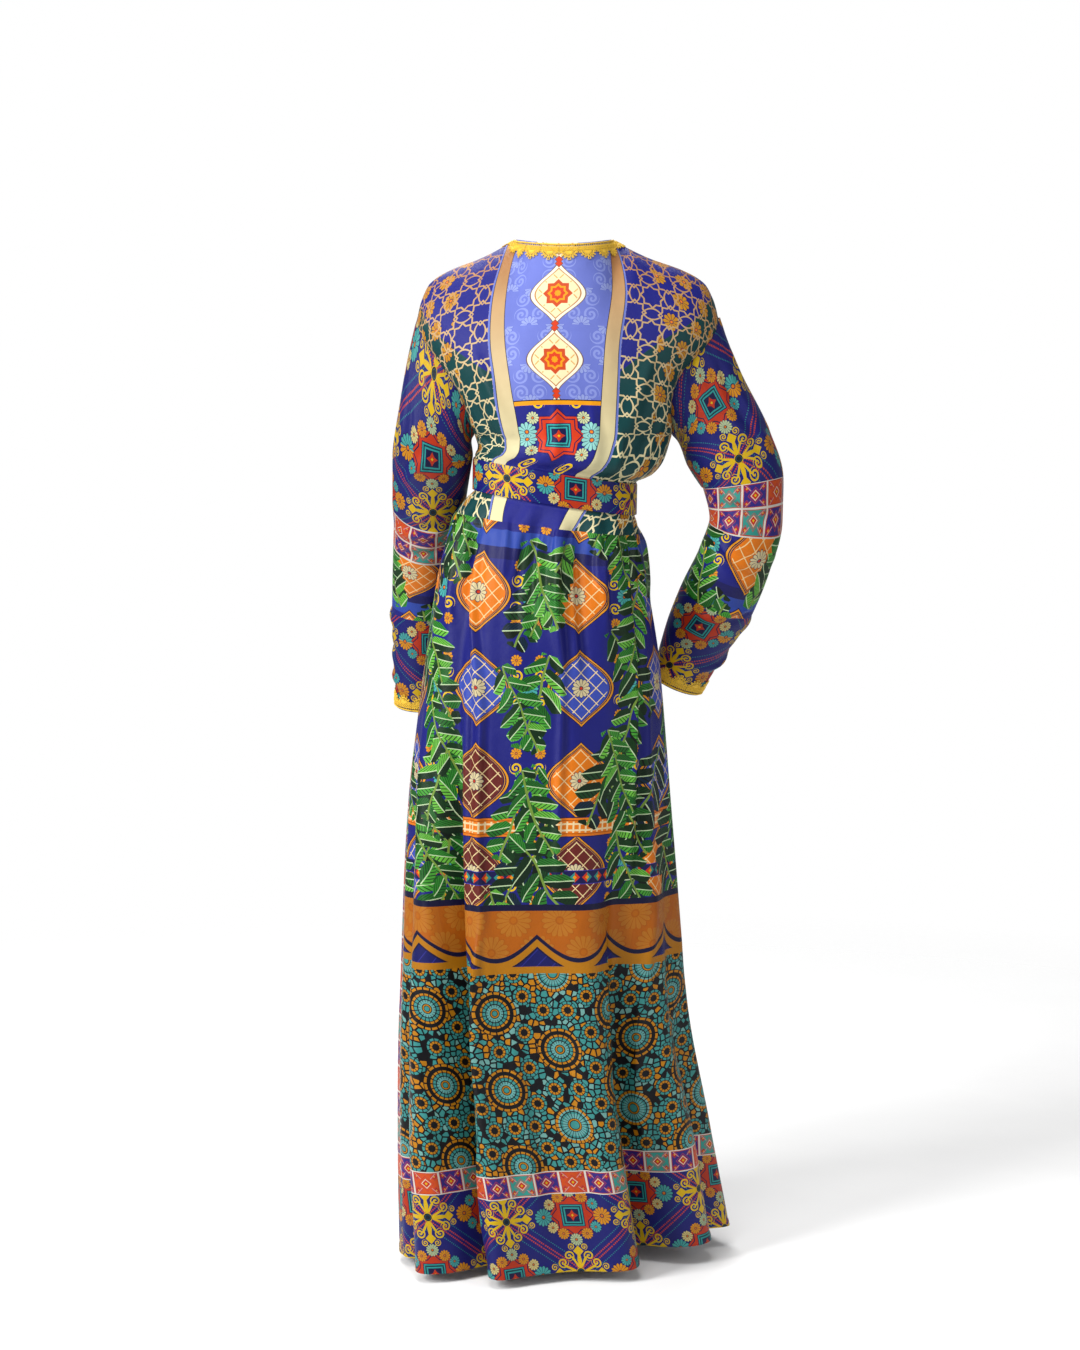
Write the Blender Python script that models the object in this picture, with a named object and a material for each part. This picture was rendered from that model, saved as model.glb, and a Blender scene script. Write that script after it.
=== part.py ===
"""A floor-length belted robe, worn and hollow: back, two lapped fronts, set-in sleeves, braid and sash.

Metres, +Z up. The origin is the nape, at the top of the centre back. The fronts face -Y and the
wearer's left is +X. Heights are written as drops, the distance below the nape.
"""

import math

import bmesh
import bpy
import numpy as np
from mathutils import Vector
from mathutils.bvhtree import BVHTree

# Cloth and seams
WALL = 0.0015
SEAM_GAP = 0.0006
ARMHOLE_GAP = 0.0008
LAP_RAISE = 0.0042
LAP_RISE_WIDTH = 0.035
LAP_RISE_AHEAD = 0.055
LAP_FADES = (0.12, 0.22)

# Lengths of the garment
HEM_DROP = 1.475
BODY_MIDDLE = Vector((0, 0, -0.30))
ARMHOLE_DROP = 0.275
NECK_HALF = 0.068
NECK_BACK = 0.062
NECK_RISE = 0.006
NECK_CURVE = 0.9
NECK_EASE = 0.035
SHOULDER_Y = -0.005
NECK_MIDDLE = np.array((0, -0.03, 0.10))

# Sash
BELT_TOP = 0.3245
BELT_BOTTOM = 0.3695
BELT_WALL = 0.0020
BELT_CLEAR = 0.0007
BELT_LAP_ANGLE = 40
BELT_OVER_FRONTS = (75, 35)
BELT_START_EASE = 0.8

# Braid
BRAID_WALL = 0.0012
BRAID_CLEAR = 0.0008
BRAID_STOPS = {1: 0.296, -1: 0.318}
BRAID_INSET = 0.0015
BRAID_BAND = 0.019
BRAID_SCALLOP = 0.006
BRAID_END_GAP = 0.0005
BRAID_LAP_FROM = 0.200
BRAID_LAP_GAP = 0.004
BRAID_SPANS = (((0, 0), (0, 0)), ((0, 0), (0, 1)), ((0, 0), (1, 0)), ((0, 0), (1, 1)), ((1, 0), (0, 1)))
SCALLOP_PITCH = 0.025

# Mesh fineness
BACK_COLUMNS = 38
NECK_COLUMNS = 12
FRONT_COLUMNS = 19
SLEEVE_COLUMNS = 20
SLEEVE_CAP_ROWS = 7
SLEEVE_ARM_ROWS = 16
BELT_COLUMNS = 60
SCALLOP_COLUMNS = 4
YOKE_ROWS = 8
SKIRT_ROWS = 14
SKIRT_ROWS_TOP = 0.44
WAIST_ROW_DROPS = (0.410, 0.390, 0.3780, 0.3710, 0.347, 0.3230, 0.3180, 0.3110, 0.2960)
SHOULDER_POINTS = 200
DENSE = 720

SECTION_POWER = 2.25
FRONT_ANGLE = 270
FRONT_SWEEP = 150

# Level sections of the body below the armholes. tilt leans a section down to the wearer's right, turn
# swings it towards the forward foot, and gather says how far the waist gathers stand out there.
SECTION_COLUMNS = ("drop", "mid", "half", "back", "front", "turn", "tilt", "gather")
BODY_SECTIONS = (
    (0.2750, -0.014, 0.1420, 0.112, 0.128, 0, 0.00, 0.0),
    (0.2980, -0.010, 0.1340, 0.112, 0.130, 0, 0.09, 0.3),
    (0.3120, -0.002, 0.1260, 0.107, 0.122, 0, 0.14, 0.4),
    (0.3180, 0.007, 0.1200, 0.099, 0.106, 0, 0.16, 0.2),
    (0.3225, 0.012, 0.1165, 0.094, 0.098, 0, 0.16, 0.0),
    (0.3715, 0.013, 0.1165, 0.094, 0.098, 0, 0.16, 0.0),
    (0.3780, 0.016, 0.1210, 0.099, 0.103, 0, 0.15, 0.5),
    (0.4170, 0.028, 0.1420, 0.121, 0.120, 0, 0.11, 1.0),
    (0.5020, 0.034, 0.1600, 0.138, 0.130, 1, 0.04, 0.7),
    (0.6130, 0.035, 0.1740, 0.143, 0.138, 3, 0.01, 0.3),
    (0.8680, 0.038, 0.1930, 0.146, 0.152, 7, 0.00, 0.0),
    (1.1070, 0.036, 0.2060, 0.149, 0.166, 11, 0.00, 0.0),
    (1.3200, 0.020, 0.2270, 0.152, 0.180, 14, 0.00, 0.0),
    (1.4750, 0.004, 0.2420, 0.154, 0.190, 16, 0.00, 0.0),
)

# Folds of the skirt. Angles run from the left side seam over the back, in degrees. out is how far a
# fold stands out where it is deepest, lean pushes its cloth along the section, and the drops say where
# it begins, is deepest and has faded out, which a fold that runs to the hem never does.
NEVER = 9
FOLD_COLUMNS = ("waist_angle", "hem_angle", "out", "width", "lean", "starts", "deepest", "ends")
SKIRT_FOLDS = (
    (14, 12, -0.030, 6, 0.000, 0.60, 1.40, NEVER),
    (30, 27, 0.024, 9, 0.000, 0.42, 1.40, NEVER),
    (44, 47, -0.056, 6, 0.020, 0.38, 1.30, NEVER),
    (58, 60, 0.020, 8, 0.000, 0.42, 1.30, NEVER),
    (84, 86, -0.010, 9, 0.000, 0.80, 1.40, NEVER),
    (104, 100, 0.026, 11, 0.000, 0.60, 1.40, NEVER),
    (120, 116, -0.070, 8, -0.014, 0.72, 1.45, NEVER),
    (140, 137, 0.014, 9, 0.000, 0.45, 1.40, NEVER),
    (152, 153, -0.020, 7, 0.000, 0.85, 1.40, NEVER),
    (168, 168, 0.016, 8, 0.000, 0.40, 1.30, NEVER),
    (200, 199, -0.030, 8, 0.000, 0.50, 1.40, NEVER),
    (218, 216, 0.026, 10, 0.000, 0.55, 1.40, NEVER),
    (234, 230, -0.024, 8, 0.000, 0.48, 1.40, NEVER),
    (300, 302, -0.024, 8, 0.000, 0.70, 1.40, NEVER),
    (318, 320, 0.022, 10, 0.000, 0.75, 1.40, NEVER),
    (340, 340, -0.030, 7, 0.000, 0.75, 1.40, NEVER),
    (46, 46, -0.012, 6, 0.004, 0.372, 0.44, 0.70),
    (70, 72, 0.006, 7, 0.000, 0.372, 0.43, 0.62),
    (84, 83, -0.009, 5, 0.003, 0.372, 0.42, 0.60),
    (96, 94, 0.006, 5, 0.000, 0.372, 0.42, 0.58),
    (107, 103, -0.010, 6, -0.003, 0.372, 0.44, 0.72),
    (128, 126, 0.007, 8, 0.000, 0.372, 0.43, 0.60),
    (150, 148, -0.007, 6, 0.000, 0.372, 0.42, 0.56),
    (170, 170, -0.009, 6, 0.000, 0.372, 0.42, 0.60),
    (190, 190, 0.006, 7, 0.000, 0.372, 0.42, 0.58),
    (212, 212, -0.009, 7, 0.000, 0.372, 0.43, 0.64),
    (232, 231, 0.006, 7, 0.000, 0.372, 0.42, 0.56),
    (304, 304, 0.006, 7, 0.000, 0.372, 0.42, 0.56),
    (20, 20, -0.006, 6, 0.000, 0.372, 0.42, 0.60),
    (330, 330, -0.050, 27, 0.000, 0.362, 0.455, 0.80),
)

# Small even gathers above and below the sash: how many go round, where they start, and their share.
GATHER_DEPTH = 0.0020
GATHERS = ((19, 0.4, 1.0), (27, 1.9, 0.5))
FLAT_LAP_WIDTH = 26

# The hem is lifted where the skirt is drawn to the forward foot: angle, width, height, and from what drop.
HEM_LIFT = (150, 42, 0.020, 0.9)

# Rows of the yoke, from the armhole's foot at rise 0 to the shoulder seam at rise 1.
YOKE_COLUMNS = ("rise", "mid", "half", "back", "front")
YOKE_SECTIONS = (
    (0.00, -0.014, 0.142, 0.112, 0.128),
    (0.30, -0.005, 0.149, 0.117, 0.126),
    (0.55, 0.000, 0.165, 0.112, 0.112),
    (0.80, -0.004, 0.195, 0.100, 0.088),
    (1.00, -0.006, 0.216, 0.088, 0.070),
)
ARMHOLE_DEPTH = 0.055
ARMHOLE_ROUND = 0.5
YOKE_DRAW_IN = 4
SHOULDER_ROUNDING = 2.6
NECK_ROUNDING = 4.0
SHOULDER_SWING = -0.006
SHOULDER_LINE = (
    (0.068, -0.006),
    (0.120, 0.020),
    (0.168, 0.038),
    (0.197, 0.056),
    (0.210, 0.080),
    (0.217, 0.105),
)

# How far each front reaches past the centre line, by drop: the neckline, then the lap.
FRONT_EDGE = (
    (-0.006, -0.068),
    (0.100, -0.045),
    (0.200, -0.020),
    (0.275, 0.000),
    (0.330, 0.016),
    (0.500, 0.040),
    (1.475, 0.060),
)

# Centre line and half sizes of each sleeve, shoulder to cuff. wide lies across, deep fore and aft.
SLEEVE_STATIONS = ("drop", "x", "y", "wide", "deep")
SLEEVE_LEFT = (
    (0.300, 0.188, -0.006, 0.0570, 0.056),
    (0.360, 0.194, -0.040, 0.0530, 0.052),
    (0.420, 0.200, -0.084, 0.0505, 0.050),
    (0.500, 0.207, -0.132, 0.0480, 0.048),
    (0.580, 0.212, -0.154, 0.0450, 0.047),
    (0.640, 0.215, -0.170, 0.0400, 0.042),
    (0.690, 0.216, -0.180, 0.0370, 0.038),
)
SLEEVE_RIGHT = (
    (0.290, -0.238, -0.002, 0.0650, 0.058),
    (0.340, -0.260, 0.002, 0.0590, 0.056),
    (0.395, -0.265, 0.000, 0.0530, 0.054),
    (0.455, -0.250, -0.016, 0.0540, 0.054),
    (0.513, -0.227, -0.038, 0.0565, 0.052),
    (0.560, -0.205, -0.056, 0.0525, 0.048),
    (0.605, -0.185, -0.070, 0.0450, 0.042),
    (0.645, -0.169, -0.078, 0.0380, 0.038),
)

# The way the sleeve's cloth leaves the armhole, at its top and under the arm, for the left side.
LEAVE_TOP = (0.25, 0, -0.97)
LEAVE_UNDER = (0.85, 0, -0.5)

COLOURS = {
    "printed_satin": (0.03, 0.03, 0.30, 1.0),
    "belt_satin": (0.05, 0.06, 0.32, 1.0),
    "yellow_braid": (0.85, 0.58, 0.05, 1.0),
}


def column(table, names, name):
    """One named column of a table as an array."""
    return np.array([row[names.index(name)] for row in table], float)


def through(at, knots, values):
    """A smooth curve through a table's rows that never overshoots them."""
    knots = np.asarray(knots, float)
    values = np.asarray(values, float)
    step = np.diff(knots)
    slope = np.diff(values) / step
    both = slope[:-1] * slope[1:]
    total = slope[:-1] + slope[1:]
    middle = np.where(both > 0, 2 * both / np.where(total == 0, 1, total), 0)
    ends = np.concatenate([slope[:1], middle, slope[-1:]])
    i = np.clip(np.searchsorted(knots, at) - 1, 0, len(step) - 1)
    t = np.clip((at - knots[i]) / step[i], 0, 1)
    rising = t * t * (3 - 2 * t)
    return (
        values[i] * (1 - rising)
        + values[i + 1] * rising
        + step[i] * t * (1 - t) * ((1 - t) * ends[i] - t * ends[i + 1])
    )


def smooth(t):
    t = np.clip(t, 0, 1)
    return t * t * (3 - 2 * t)


def bump(angle, centre, width):
    """A soft bell of angles in degrees, the shortest way round."""
    away = (angle - centre + 180) % 360 - 180
    return np.exp(-((away / width) ** 2))


def fold_offsets(drop, angle):
    """How far the folds and gathers push the cloth out, and along the section."""
    out = np.zeros_like(angle)
    along = np.zeros_like(angle)
    down = (drop - BELT_BOTTOM) / (HEM_DROP - BELT_BOTTOM)
    for waist_angle, hem_angle, depth, width, lean, starts, deepest, ends in SKIRT_FOLDS:
        grown = smooth((drop - starts) / (deepest - starts)) * smooth((ends - drop) / (ends - deepest))
        shape = grown * bump(angle, waist_angle + (hem_angle - waist_angle) * down, width)
        out += depth * shape
        along += lean * shape
    drops = column(BODY_SECTIONS, SECTION_COLUMNS, "drop")
    gather = through(drop, drops, column(BODY_SECTIONS, SECTION_COLUMNS, "gather"))
    flat_lap = 1 - bump(angle, FRONT_ANGLE, FLAT_LAP_WIDTH)
    for waves, phase, share in GATHERS:
        out += GATHER_DEPTH * gather * share * flat_lap * np.sin(waves * np.radians(angle) + phase)
    return out, along


def front_reach(drop):
    """How far the left front's edge lies past the centre line, towards the right."""
    drops, reach = zip(*FRONT_EDGE)
    return through(drop, drops, reach)


def ring(drop, angle, folded=True):
    """Points of the body's level section at these angles, in degrees."""
    drops = column(BODY_SECTIONS, SECTION_COLUMNS, "drop")
    mid, half, back, front, turn, tilt = (
        float(through(drop, drops, column(BODY_SECTIONS, SECTION_COLUMNS, name)))
        for name in ("mid", "half", "back", "front", "turn", "tilt")
    )
    theta = np.radians(angle)
    c, s = np.cos(theta), np.sin(theta)
    depth = np.where(s >= 0, back, front)
    x = half * np.sign(c) * np.abs(c) ** (2 / SECTION_POWER)
    y = depth * np.sign(s) * np.abs(s) ** (2 / SECTION_POWER)
    nx, ny = c / half, s / depth
    length = np.hypot(nx, ny)
    nx, ny = nx / length, ny / length
    if folded:
        out, along = fold_offsets(drop, angle)
        x = x + nx * out - ny * along
        y = y + ny * out + nx * along
    a = math.radians(turn)
    lift_angle, lift_width, lift, lift_from = HEM_LIFT
    grown = smooth((drop - lift_from) / (HEM_DROP - lift_from))
    raised = lift * bump(angle, lift_angle, lift_width) * grown
    return np.stack(
        [
            mid + x * math.cos(a) - y * math.sin(a),
            x * math.sin(a) + y * math.cos(a),
            -drop + tilt * x + raised,
        ],
        axis=1,
    )


def evenly(points, count, start_gap=0.0, end_gap=0.0):
    """count points at equal distances along a polyline, stopping short of each end by a gap."""
    run = np.concatenate([[0], np.cumsum(np.linalg.norm(np.diff(points, axis=0), axis=1))])
    at = np.linspace(start_gap, run[-1] - end_gap, count)
    return np.stack([np.interp(at, run, points[:, k]) for k in range(3)], axis=1)


def up_to(points, side, reach):
    """The part of a front's polyline that stops at its edge, reach past the centre line."""
    beyond = -side * points[:, 0] - reach
    k = int(np.argmax(beyond > 0)) if (beyond > 0).any() else len(points) - 1
    share = beyond[k - 1] / (beyond[k - 1] - beyond[k])
    last = points[k - 1] + (points[k] - points[k - 1]) * share
    return np.vstack([points[:k], last])


def lap_raise(points, side, drop):
    """Lifts the right front clear of the left one that it laps over."""
    if side > 0:
        return points
    start = -front_reach(drop) - LAP_RISE_AHEAD
    top, full = LAP_FADES
    share = smooth((points[:, 0] - start) / LAP_RISE_WIDTH) * smooth((drop - top) / (full - top))
    return points - np.outer(share * LAP_RAISE, (0, 1, 0))


def shoulder_top(side):
    """The shoulder seam, from the armhole to the neck."""
    xs, drops = zip(*SHOULDER_LINE)
    x = np.linspace(xs[-1], xs[0], SHOULDER_POINTS)
    swung = SHOULDER_SWING * (x - xs[0]) / (xs[-1] - xs[0])
    return np.stack([side * x + swung, np.full_like(x, SHOULDER_Y), -through(x, xs, drops)], axis=1)


def neck_top():
    """The back neckline, from the left neck point to the right one."""
    t = np.linspace(0, math.pi, SHOULDER_POINTS)
    across = np.cos(t)
    return np.stack(
        [
            NECK_HALF * across,
            SHOULDER_Y + (NECK_BACK - SHOULDER_Y) * np.sin(t) ** NECK_CURVE,
            NECK_RISE * across**2,
        ],
        axis=1,
    )


def yoke_section(rise, back):
    """mid, half, depth and the armhole edge's depth at a height in the yoke."""
    rises = column(YOKE_SECTIONS, YOKE_COLUMNS, "rise")
    mid, half, depth = (
        float(through(rise, rises, column(YOKE_SECTIONS, YOKE_COLUMNS, name)))
        for name in ("mid", "half", "back" if back else "front")
    )
    edge = ARMHOLE_DEPTH * math.sqrt(1 - (1 - min(rise / ARMHOLE_ROUND, 1)) ** 2)
    return mid, half, depth, edge


def yoke_row(rise, back, side, top, count, gaps):
    """A row of the yoke: the level section, drawn up to the top row and rounded over the shoulder."""
    mid, half, depth, edge = yoke_section(rise, back)
    theta = np.linspace(0, math.pi, DENSE)
    c, s = np.cos(theta), np.sin(theta)
    x = mid + half * side * np.sign(c) * np.abs(c) ** (2 / SECTION_POWER)
    y = edge + (depth - edge) * s ** (2 / SECTION_POWER)
    section = np.stack([x, y if back else -y, np.zeros_like(x)], axis=1)
    if not back:
        foot = -ARMHOLE_DROP
        drop = -(foot + (NECK_RISE - foot) * rise)
        section = up_to(section, side, float(front_reach(drop)))
    level = evenly(section, count, *gaps)
    over_shoulder = math.sqrt(max(0.0, 1 - rise**SHOULDER_ROUNDING))
    up_neck = 1 - rise**NECK_ROUNDING
    by_neck = smooth((NECK_HALF + NECK_EASE - np.abs(top[:, 0])) / NECK_EASE) if back else 0
    rounding = over_shoulder + (up_neck - over_shoulder) * by_neck
    points = level.copy()
    points[:, 0] += (top[:, 0] - level[:, 0]) * rise**YOKE_DRAW_IN
    points[:, 1] = top[:, 1] + (level[:, 1] - top[:, 1]) * rounding
    points[:, 2] = -ARMHOLE_DROP + (top[:, 2] + ARMHOLE_DROP) * rise
    return points


def skirt_drops():
    """Drops of the rows from the hem to the armhole, closest together round the sash."""
    skirt = np.linspace(HEM_DROP, SKIRT_ROWS_TOP, SKIRT_ROWS)
    return np.concatenate([skirt, WAIST_ROW_DROPS])


def yoke_rises():
    return np.sin(np.linspace(0, math.pi / 2, YOKE_ROWS))


def back_rows():
    """Rows of the back, hem to shoulder, each from the left edge to the right one."""
    gaps = (SEAM_GAP / 2, SEAM_GAP / 2)
    angle = np.linspace(0, 180, DENSE)
    rows = [evenly(ring(drop, angle), BACK_COLUMNS + 1, *gaps) for drop in skirt_drops()]
    shoulder = (BACK_COLUMNS - NECK_COLUMNS) // 2
    left = evenly(shoulder_top(1), shoulder + 1)
    neck = evenly(neck_top(), NECK_COLUMNS + 1)
    right = evenly(shoulder_top(-1), shoulder + 1)[::-1]
    top = np.vstack([left[:-1], neck, right[1:]])
    for rise in yoke_rises():
        row = yoke_row(rise, True, 1, top, BACK_COLUMNS + 1, gaps)
        if rise == 1:
            row[:shoulder + 1, 1] += SEAM_GAP / 2
            row[-shoulder - 1:, 1] += SEAM_GAP / 2
        rows.append(row)
    return np.array(rows)


def front_rows(side):
    """Rows of one front, hem to shoulder, each from the side seam to the front edge."""
    gaps = (SEAM_GAP / 2, 0.0)
    sweep = np.linspace(0, -FRONT_SWEEP, DENSE)
    angle = sweep if side > 0 else 180 - sweep
    rows = []
    for drop in skirt_drops():
        points = up_to(ring(drop, angle), side, float(front_reach(drop)))
        rows.append(lap_raise(evenly(points, FRONT_COLUMNS + 1, *gaps), side, drop))
    top = evenly(shoulder_top(side), FRONT_COLUMNS + 1)
    for rise in yoke_rises():
        row = yoke_row(rise, False, side, top, FRONT_COLUMNS + 1, gaps)
        if rise == 1:
            row[:, 1] -= SEAM_GAP / 2
        drop = ARMHOLE_DROP - (ARMHOLE_DROP + NECK_RISE) * rise
        rows.append(lap_raise(row, side, drop))
    return np.array(rows)


def armhole(side, count):
    """The armhole's edge as a closed loop: shoulder, back, underarm, front."""
    back, front = back_rows(), front_rows(side)
    start = len(skirt_drops())
    back_edge = back[start:, 0 if side > 0 else -1]
    front_edge = front[start:, 0]
    loop = np.vstack([back_edge[::-1], front_edge[1:], back_edge[-1:]])
    return evenly(loop, count + 1)[:-1]


def sleeve_rows(side):
    """Rings of a sleeve from the armhole to the cuff, each starting at the outer arm."""
    table = SLEEVE_LEFT if side > 0 else SLEEVE_RIGHT
    drop, x, y, wide, deep = (column(table, SLEEVE_STATIONS, name) for name in SLEEVE_STATIONS)
    drops = np.linspace(drop[0], drop[-1], SLEEVE_ARM_ROWS)
    centre = np.stack([through(drops, drop, x), through(drops, drop, y), -drops], axis=1)
    ahead = np.gradient(centre, axis=0)
    ahead /= np.linalg.norm(ahead, axis=1)[:, None]
    across = np.cross((0, 1, 0), ahead)
    across *= (np.sign(across[:, 0]) * side / np.linalg.norm(across, axis=1))[:, None]
    rear = np.cross(ahead, across)
    rear *= np.sign(rear[:, 1])[:, None]
    phi = np.linspace(0, 2 * math.pi, SLEEVE_COLUMNS, endpoint=False)
    arm = (
        centre[:, None]
        + across[:, None] * (through(drops, drop, wide)[:, None] * np.cos(phi))[..., None]
        + rear[:, None] * (through(drops, drop, deep)[:, None] * np.sin(phi))[..., None]
    )
    start = armhole(side, SLEEVE_COLUMNS)
    start[:, 0] += side * ARMHOLE_GAP
    reach = arm[0] - start
    span = np.linalg.norm(reach, axis=1)[:, None]
    top_share = ((1 + np.cos(phi)) / 2)[:, None]
    leave = (top_share * LEAVE_TOP + (1 - top_share) * LEAVE_UNDER) * (side, 1, 1)
    arrive = ahead[0]
    cap = []
    for t in np.linspace(0, 1, SLEEVE_CAP_ROWS + 1)[:-1]:
        cap.append(
            start * (2 * t**3 - 3 * t**2 + 1)
            + leave * span * (t**3 - 2 * t**2 + t)
            + arm[0] * (3 * t**2 - 2 * t**3)
            + arrive * span * (t**3 - t**2)
        )
    return np.concatenate([np.array(cap), arm])


def normals(rows, middle, closed=False):
    """Unit normals at a grid's points, pointing away from the piece's middle line."""
    if closed:
        wrapped = np.concatenate([rows[:, -1:], rows, rows[:, :1]], axis=1)
        across = np.gradient(wrapped, axis=1)[:, 1:-1]
    else:
        across = np.gradient(rows, axis=1)
    up = np.gradient(rows, axis=0)
    out = np.cross(across, up)
    out /= np.linalg.norm(out, axis=2)[..., None]
    facing = np.sign(np.sum(out * (rows - middle), axis=2).sum())
    return out * facing


def wall_mesh(name, near, far, closed=False):
    """A closed wall between two layers of points; a closed one joins its last column to its first."""
    count, across = near.shape[:2]
    segments = across if closed else across - 1
    bm = bmesh.new()
    bmesh.ops.create_grid(bm, x_segments=segments, y_segments=count - 1, size=0.5)
    place = bm.verts.layers.int.new("place")
    for vert in bm.verts:
        i = round((vert.co.x + 0.5) * segments) % across
        j = round((vert.co.y + 0.5) * (count - 1))
        vert[place] = j * across + i
        vert.co = near[j, i]
    if closed:
        bmesh.ops.remove_doubles(bm, verts=bm.verts, dist=1e-6)
    wall = bmesh.ops.extrude_face_region(bm, geom=bm.faces[:], use_keep_orig=True)
    layer = far.reshape(-1, 3)
    for vert in wall["geom"]:
        if isinstance(vert, bmesh.types.BMVert):
            vert.co = layer[vert[place]]
    bmesh.ops.recalc_face_normals(bm, faces=bm.faces)
    mesh = bpy.data.meshes.new(name)
    bm.to_mesh(mesh)
    bm.free()
    return mesh


def material(name):
    made = bpy.data.materials.get(name)
    if made is None:
        made = bpy.data.materials.new(name)
        made.use_nodes = True
        shader = made.node_tree.nodes["Principled BSDF"]
        shader.inputs["Base Color"].default_value = COLOURS[name]
        shader.inputs["Roughness"].default_value = 0.45
        shader.inputs["Metallic"].default_value = 0.0
    return made


def cloth_object(name, near, far, finish, parts, closed=False):
    """A named piece of cloth between two layers of points."""
    mesh = wall_mesh(name, near, far, closed)
    mesh.materials.append(material(finish))
    made = bpy.data.objects.new(name, mesh)
    parts.objects.link(made)
    return made


def surface_tree(grids):
    """One search tree over several grids of points."""
    points, faces = [], []
    for rows in grids:
        base = len(points)
        count, across = rows.shape[:2]
        points += [Vector(p) for p in rows.reshape(-1, 3)]
        for j in range(count - 1):
            for i in range(across - 1):
                k = base + j * across + i
                faces.append((k, k + 1, k + across + 1, k + across))
    return BVHTree.FromPolygons(points, faces)


def scalloped(run):
    """Width of the braid at a distance along it, from its straight edge to its scalloped one."""
    return BRAID_BAND + BRAID_SCALLOP * np.abs(np.sin(math.pi * run / SCALLOP_PITCH))


def braid_rows(stretches, trees):
    """Rows of a braid laid on the cloth beside the neckline and lifted clear of it, and its normals.

    Each stretch of the neckline is laid on the cloth of its own tree. The left stretch is trimmed to
    what the right front leaves bare of it.
    """
    edge = np.vstack(stretches)
    length = np.linalg.norm(np.diff(edge, axis=0), axis=1).sum()
    count = int(round(length / SCALLOP_PITCH)) * SCALLOP_COLUMNS + 1
    path = evenly(edge, count, BRAID_END_GAP, BRAID_END_GAP)
    run = np.linspace(0, length, count)
    ends = np.cumsum([np.linalg.norm(np.diff(part, axis=0), axis=1).sum() for part in stretches])
    cloth = [trees[min(int(np.searchsorted(ends, at)), len(trees) - 1)] for at in run]
    start, up = on_cloth(path, cloth)
    aside = np.cross(soften(up), np.gradient(path, axis=0))
    aside *= np.sign(np.sum(aside * (path - NECK_MIDDLE), axis=1))[:, None]
    aside = soften(aside)
    far_edge = BRAID_INSET + scalloped(run)
    near_edge = np.full(count, BRAID_INSET)
    under = (run < ends[0]) & (path[:, 2] < -BRAID_LAP_FROM)
    near_edge[under] = np.maximum(BRAID_INSET, 2 * front_reach(-path[under, 2]) + BRAID_LAP_GAP)
    rows, out = [], []
    for share in (0.0, 0.5, 1.0):
        away = near_edge + share * (far_edge - near_edge)
        spot, up = on_cloth(start + aside * away[:, None], cloth)
        up = soften(up)
        rows.append(spot + up * BRAID_CLEAR)
        out.append(up)
    rows, out = np.array(rows), np.array(out)
    for _ in range(4):
        rows += out * shortfall(rows, cloth)[..., None]
    return rows, out


def shortfall(rows, cloth):
    """How far each point must move out for the braid's edges and middles to be clear of the cloth."""
    lift = np.zeros(rows.shape[:2])
    for (a, b), (c, d) in BRAID_SPANS:
        height, width = rows.shape[0] - max(a, c), rows.shape[1] - max(b, d)
        one = (slice(a, a + height), slice(b, b + width))
        other = (slice(c, c + height), slice(d, d + width))
        middles = (rows[one] + rows[other]) / 2
        for j in range(height):
            spot, up = on_cloth(middles[j], cloth[:width])
            short = BRAID_CLEAR - np.sum((middles[j] - spot) * up, axis=1)
            short = np.maximum(short, 0)
            for corner in (one, other):
                row = lift[corner[0]][j]
                part = row[corner[1]]
                np.maximum(part, short, out=part)
    return lift


def on_cloth(points, cloth):
    """The nearest points of the cloth, and its normals there, each point with its own tree."""
    spots, ups = [], []
    for point, tree in zip(points, cloth):
        spot, up, _, _ = tree.find_nearest(Vector(point))
        spots.append(spot)
        ups.append(up if up.dot(spot - BODY_MIDDLE) > 0 else -up)
    return np.array(spots), np.array(ups)


def soften(directions):
    """Unit vectors averaged with their neighbours along a run."""
    reach = 3
    padded = np.concatenate([directions[:1]] * reach + [directions] + [directions[-1:]] * reach)
    count = len(directions)
    total = sum(padded[i:i + count] for i in range(2 * reach + 1))
    return total / np.linalg.norm(total, axis=1)[:, None]


def neckline(front, stops):
    """One front's neck edge, from the drop where the braid stops up to the neck point."""
    edge = front[:, -1]
    first = int(np.argmax(-edge[:, 2] < stops))
    share = (-edge[first - 1, 2] - stops) / (edge[first, 2] - edge[first - 1, 2])
    end = edge[first - 1] + (edge[first] - edge[first - 1]) * share
    return np.vstack([end, edge[first:]])


def cuff_braid_rows(rows):
    """Rows of a cuff's braid, on the last rings of its sleeve, scallops up the arm."""
    ring_points = rows[-1]
    around = np.linalg.norm(np.diff(np.vstack([ring_points, ring_points[:1]]), axis=0), axis=1).sum()
    scallops = int(round(around / SCALLOP_PITCH))
    count = scallops * SCALLOP_COLUMNS
    share = np.arange(count) / count
    column_at = share * rows.shape[1]
    k = column_at.astype(int)
    part = (column_at - k)[None, :, None]
    wrapped = rows[:, k % rows.shape[1]] * (1 - part) + rows[:, (k + 1) % rows.shape[1]] * part
    run = np.concatenate([np.zeros((1, count)), np.cumsum(
        np.linalg.norm(np.diff(wrapped[::-1], axis=0), axis=2), axis=0)])
    centre = wrapped.mean(axis=1)[::-1]
    made = []
    for step in (0.0, 0.5, 1.0):
        away = BRAID_INSET + step * scalloped(share * scallops * SCALLOP_PITCH)
        row = []
        for i in range(count):
            point = [np.interp(away[i], run[:, i], wrapped[::-1, i, axis]) for axis in range(3)]
            axis_point = [np.interp(away[i], run[:, i], centre[:, axis]) for axis in range(3)]
            out = np.array(point) - np.array(axis_point)
            row.append(np.array(point) + out / np.linalg.norm(out) * BRAID_CLEAR)
        made.append(row)
    return np.array(made)


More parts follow.
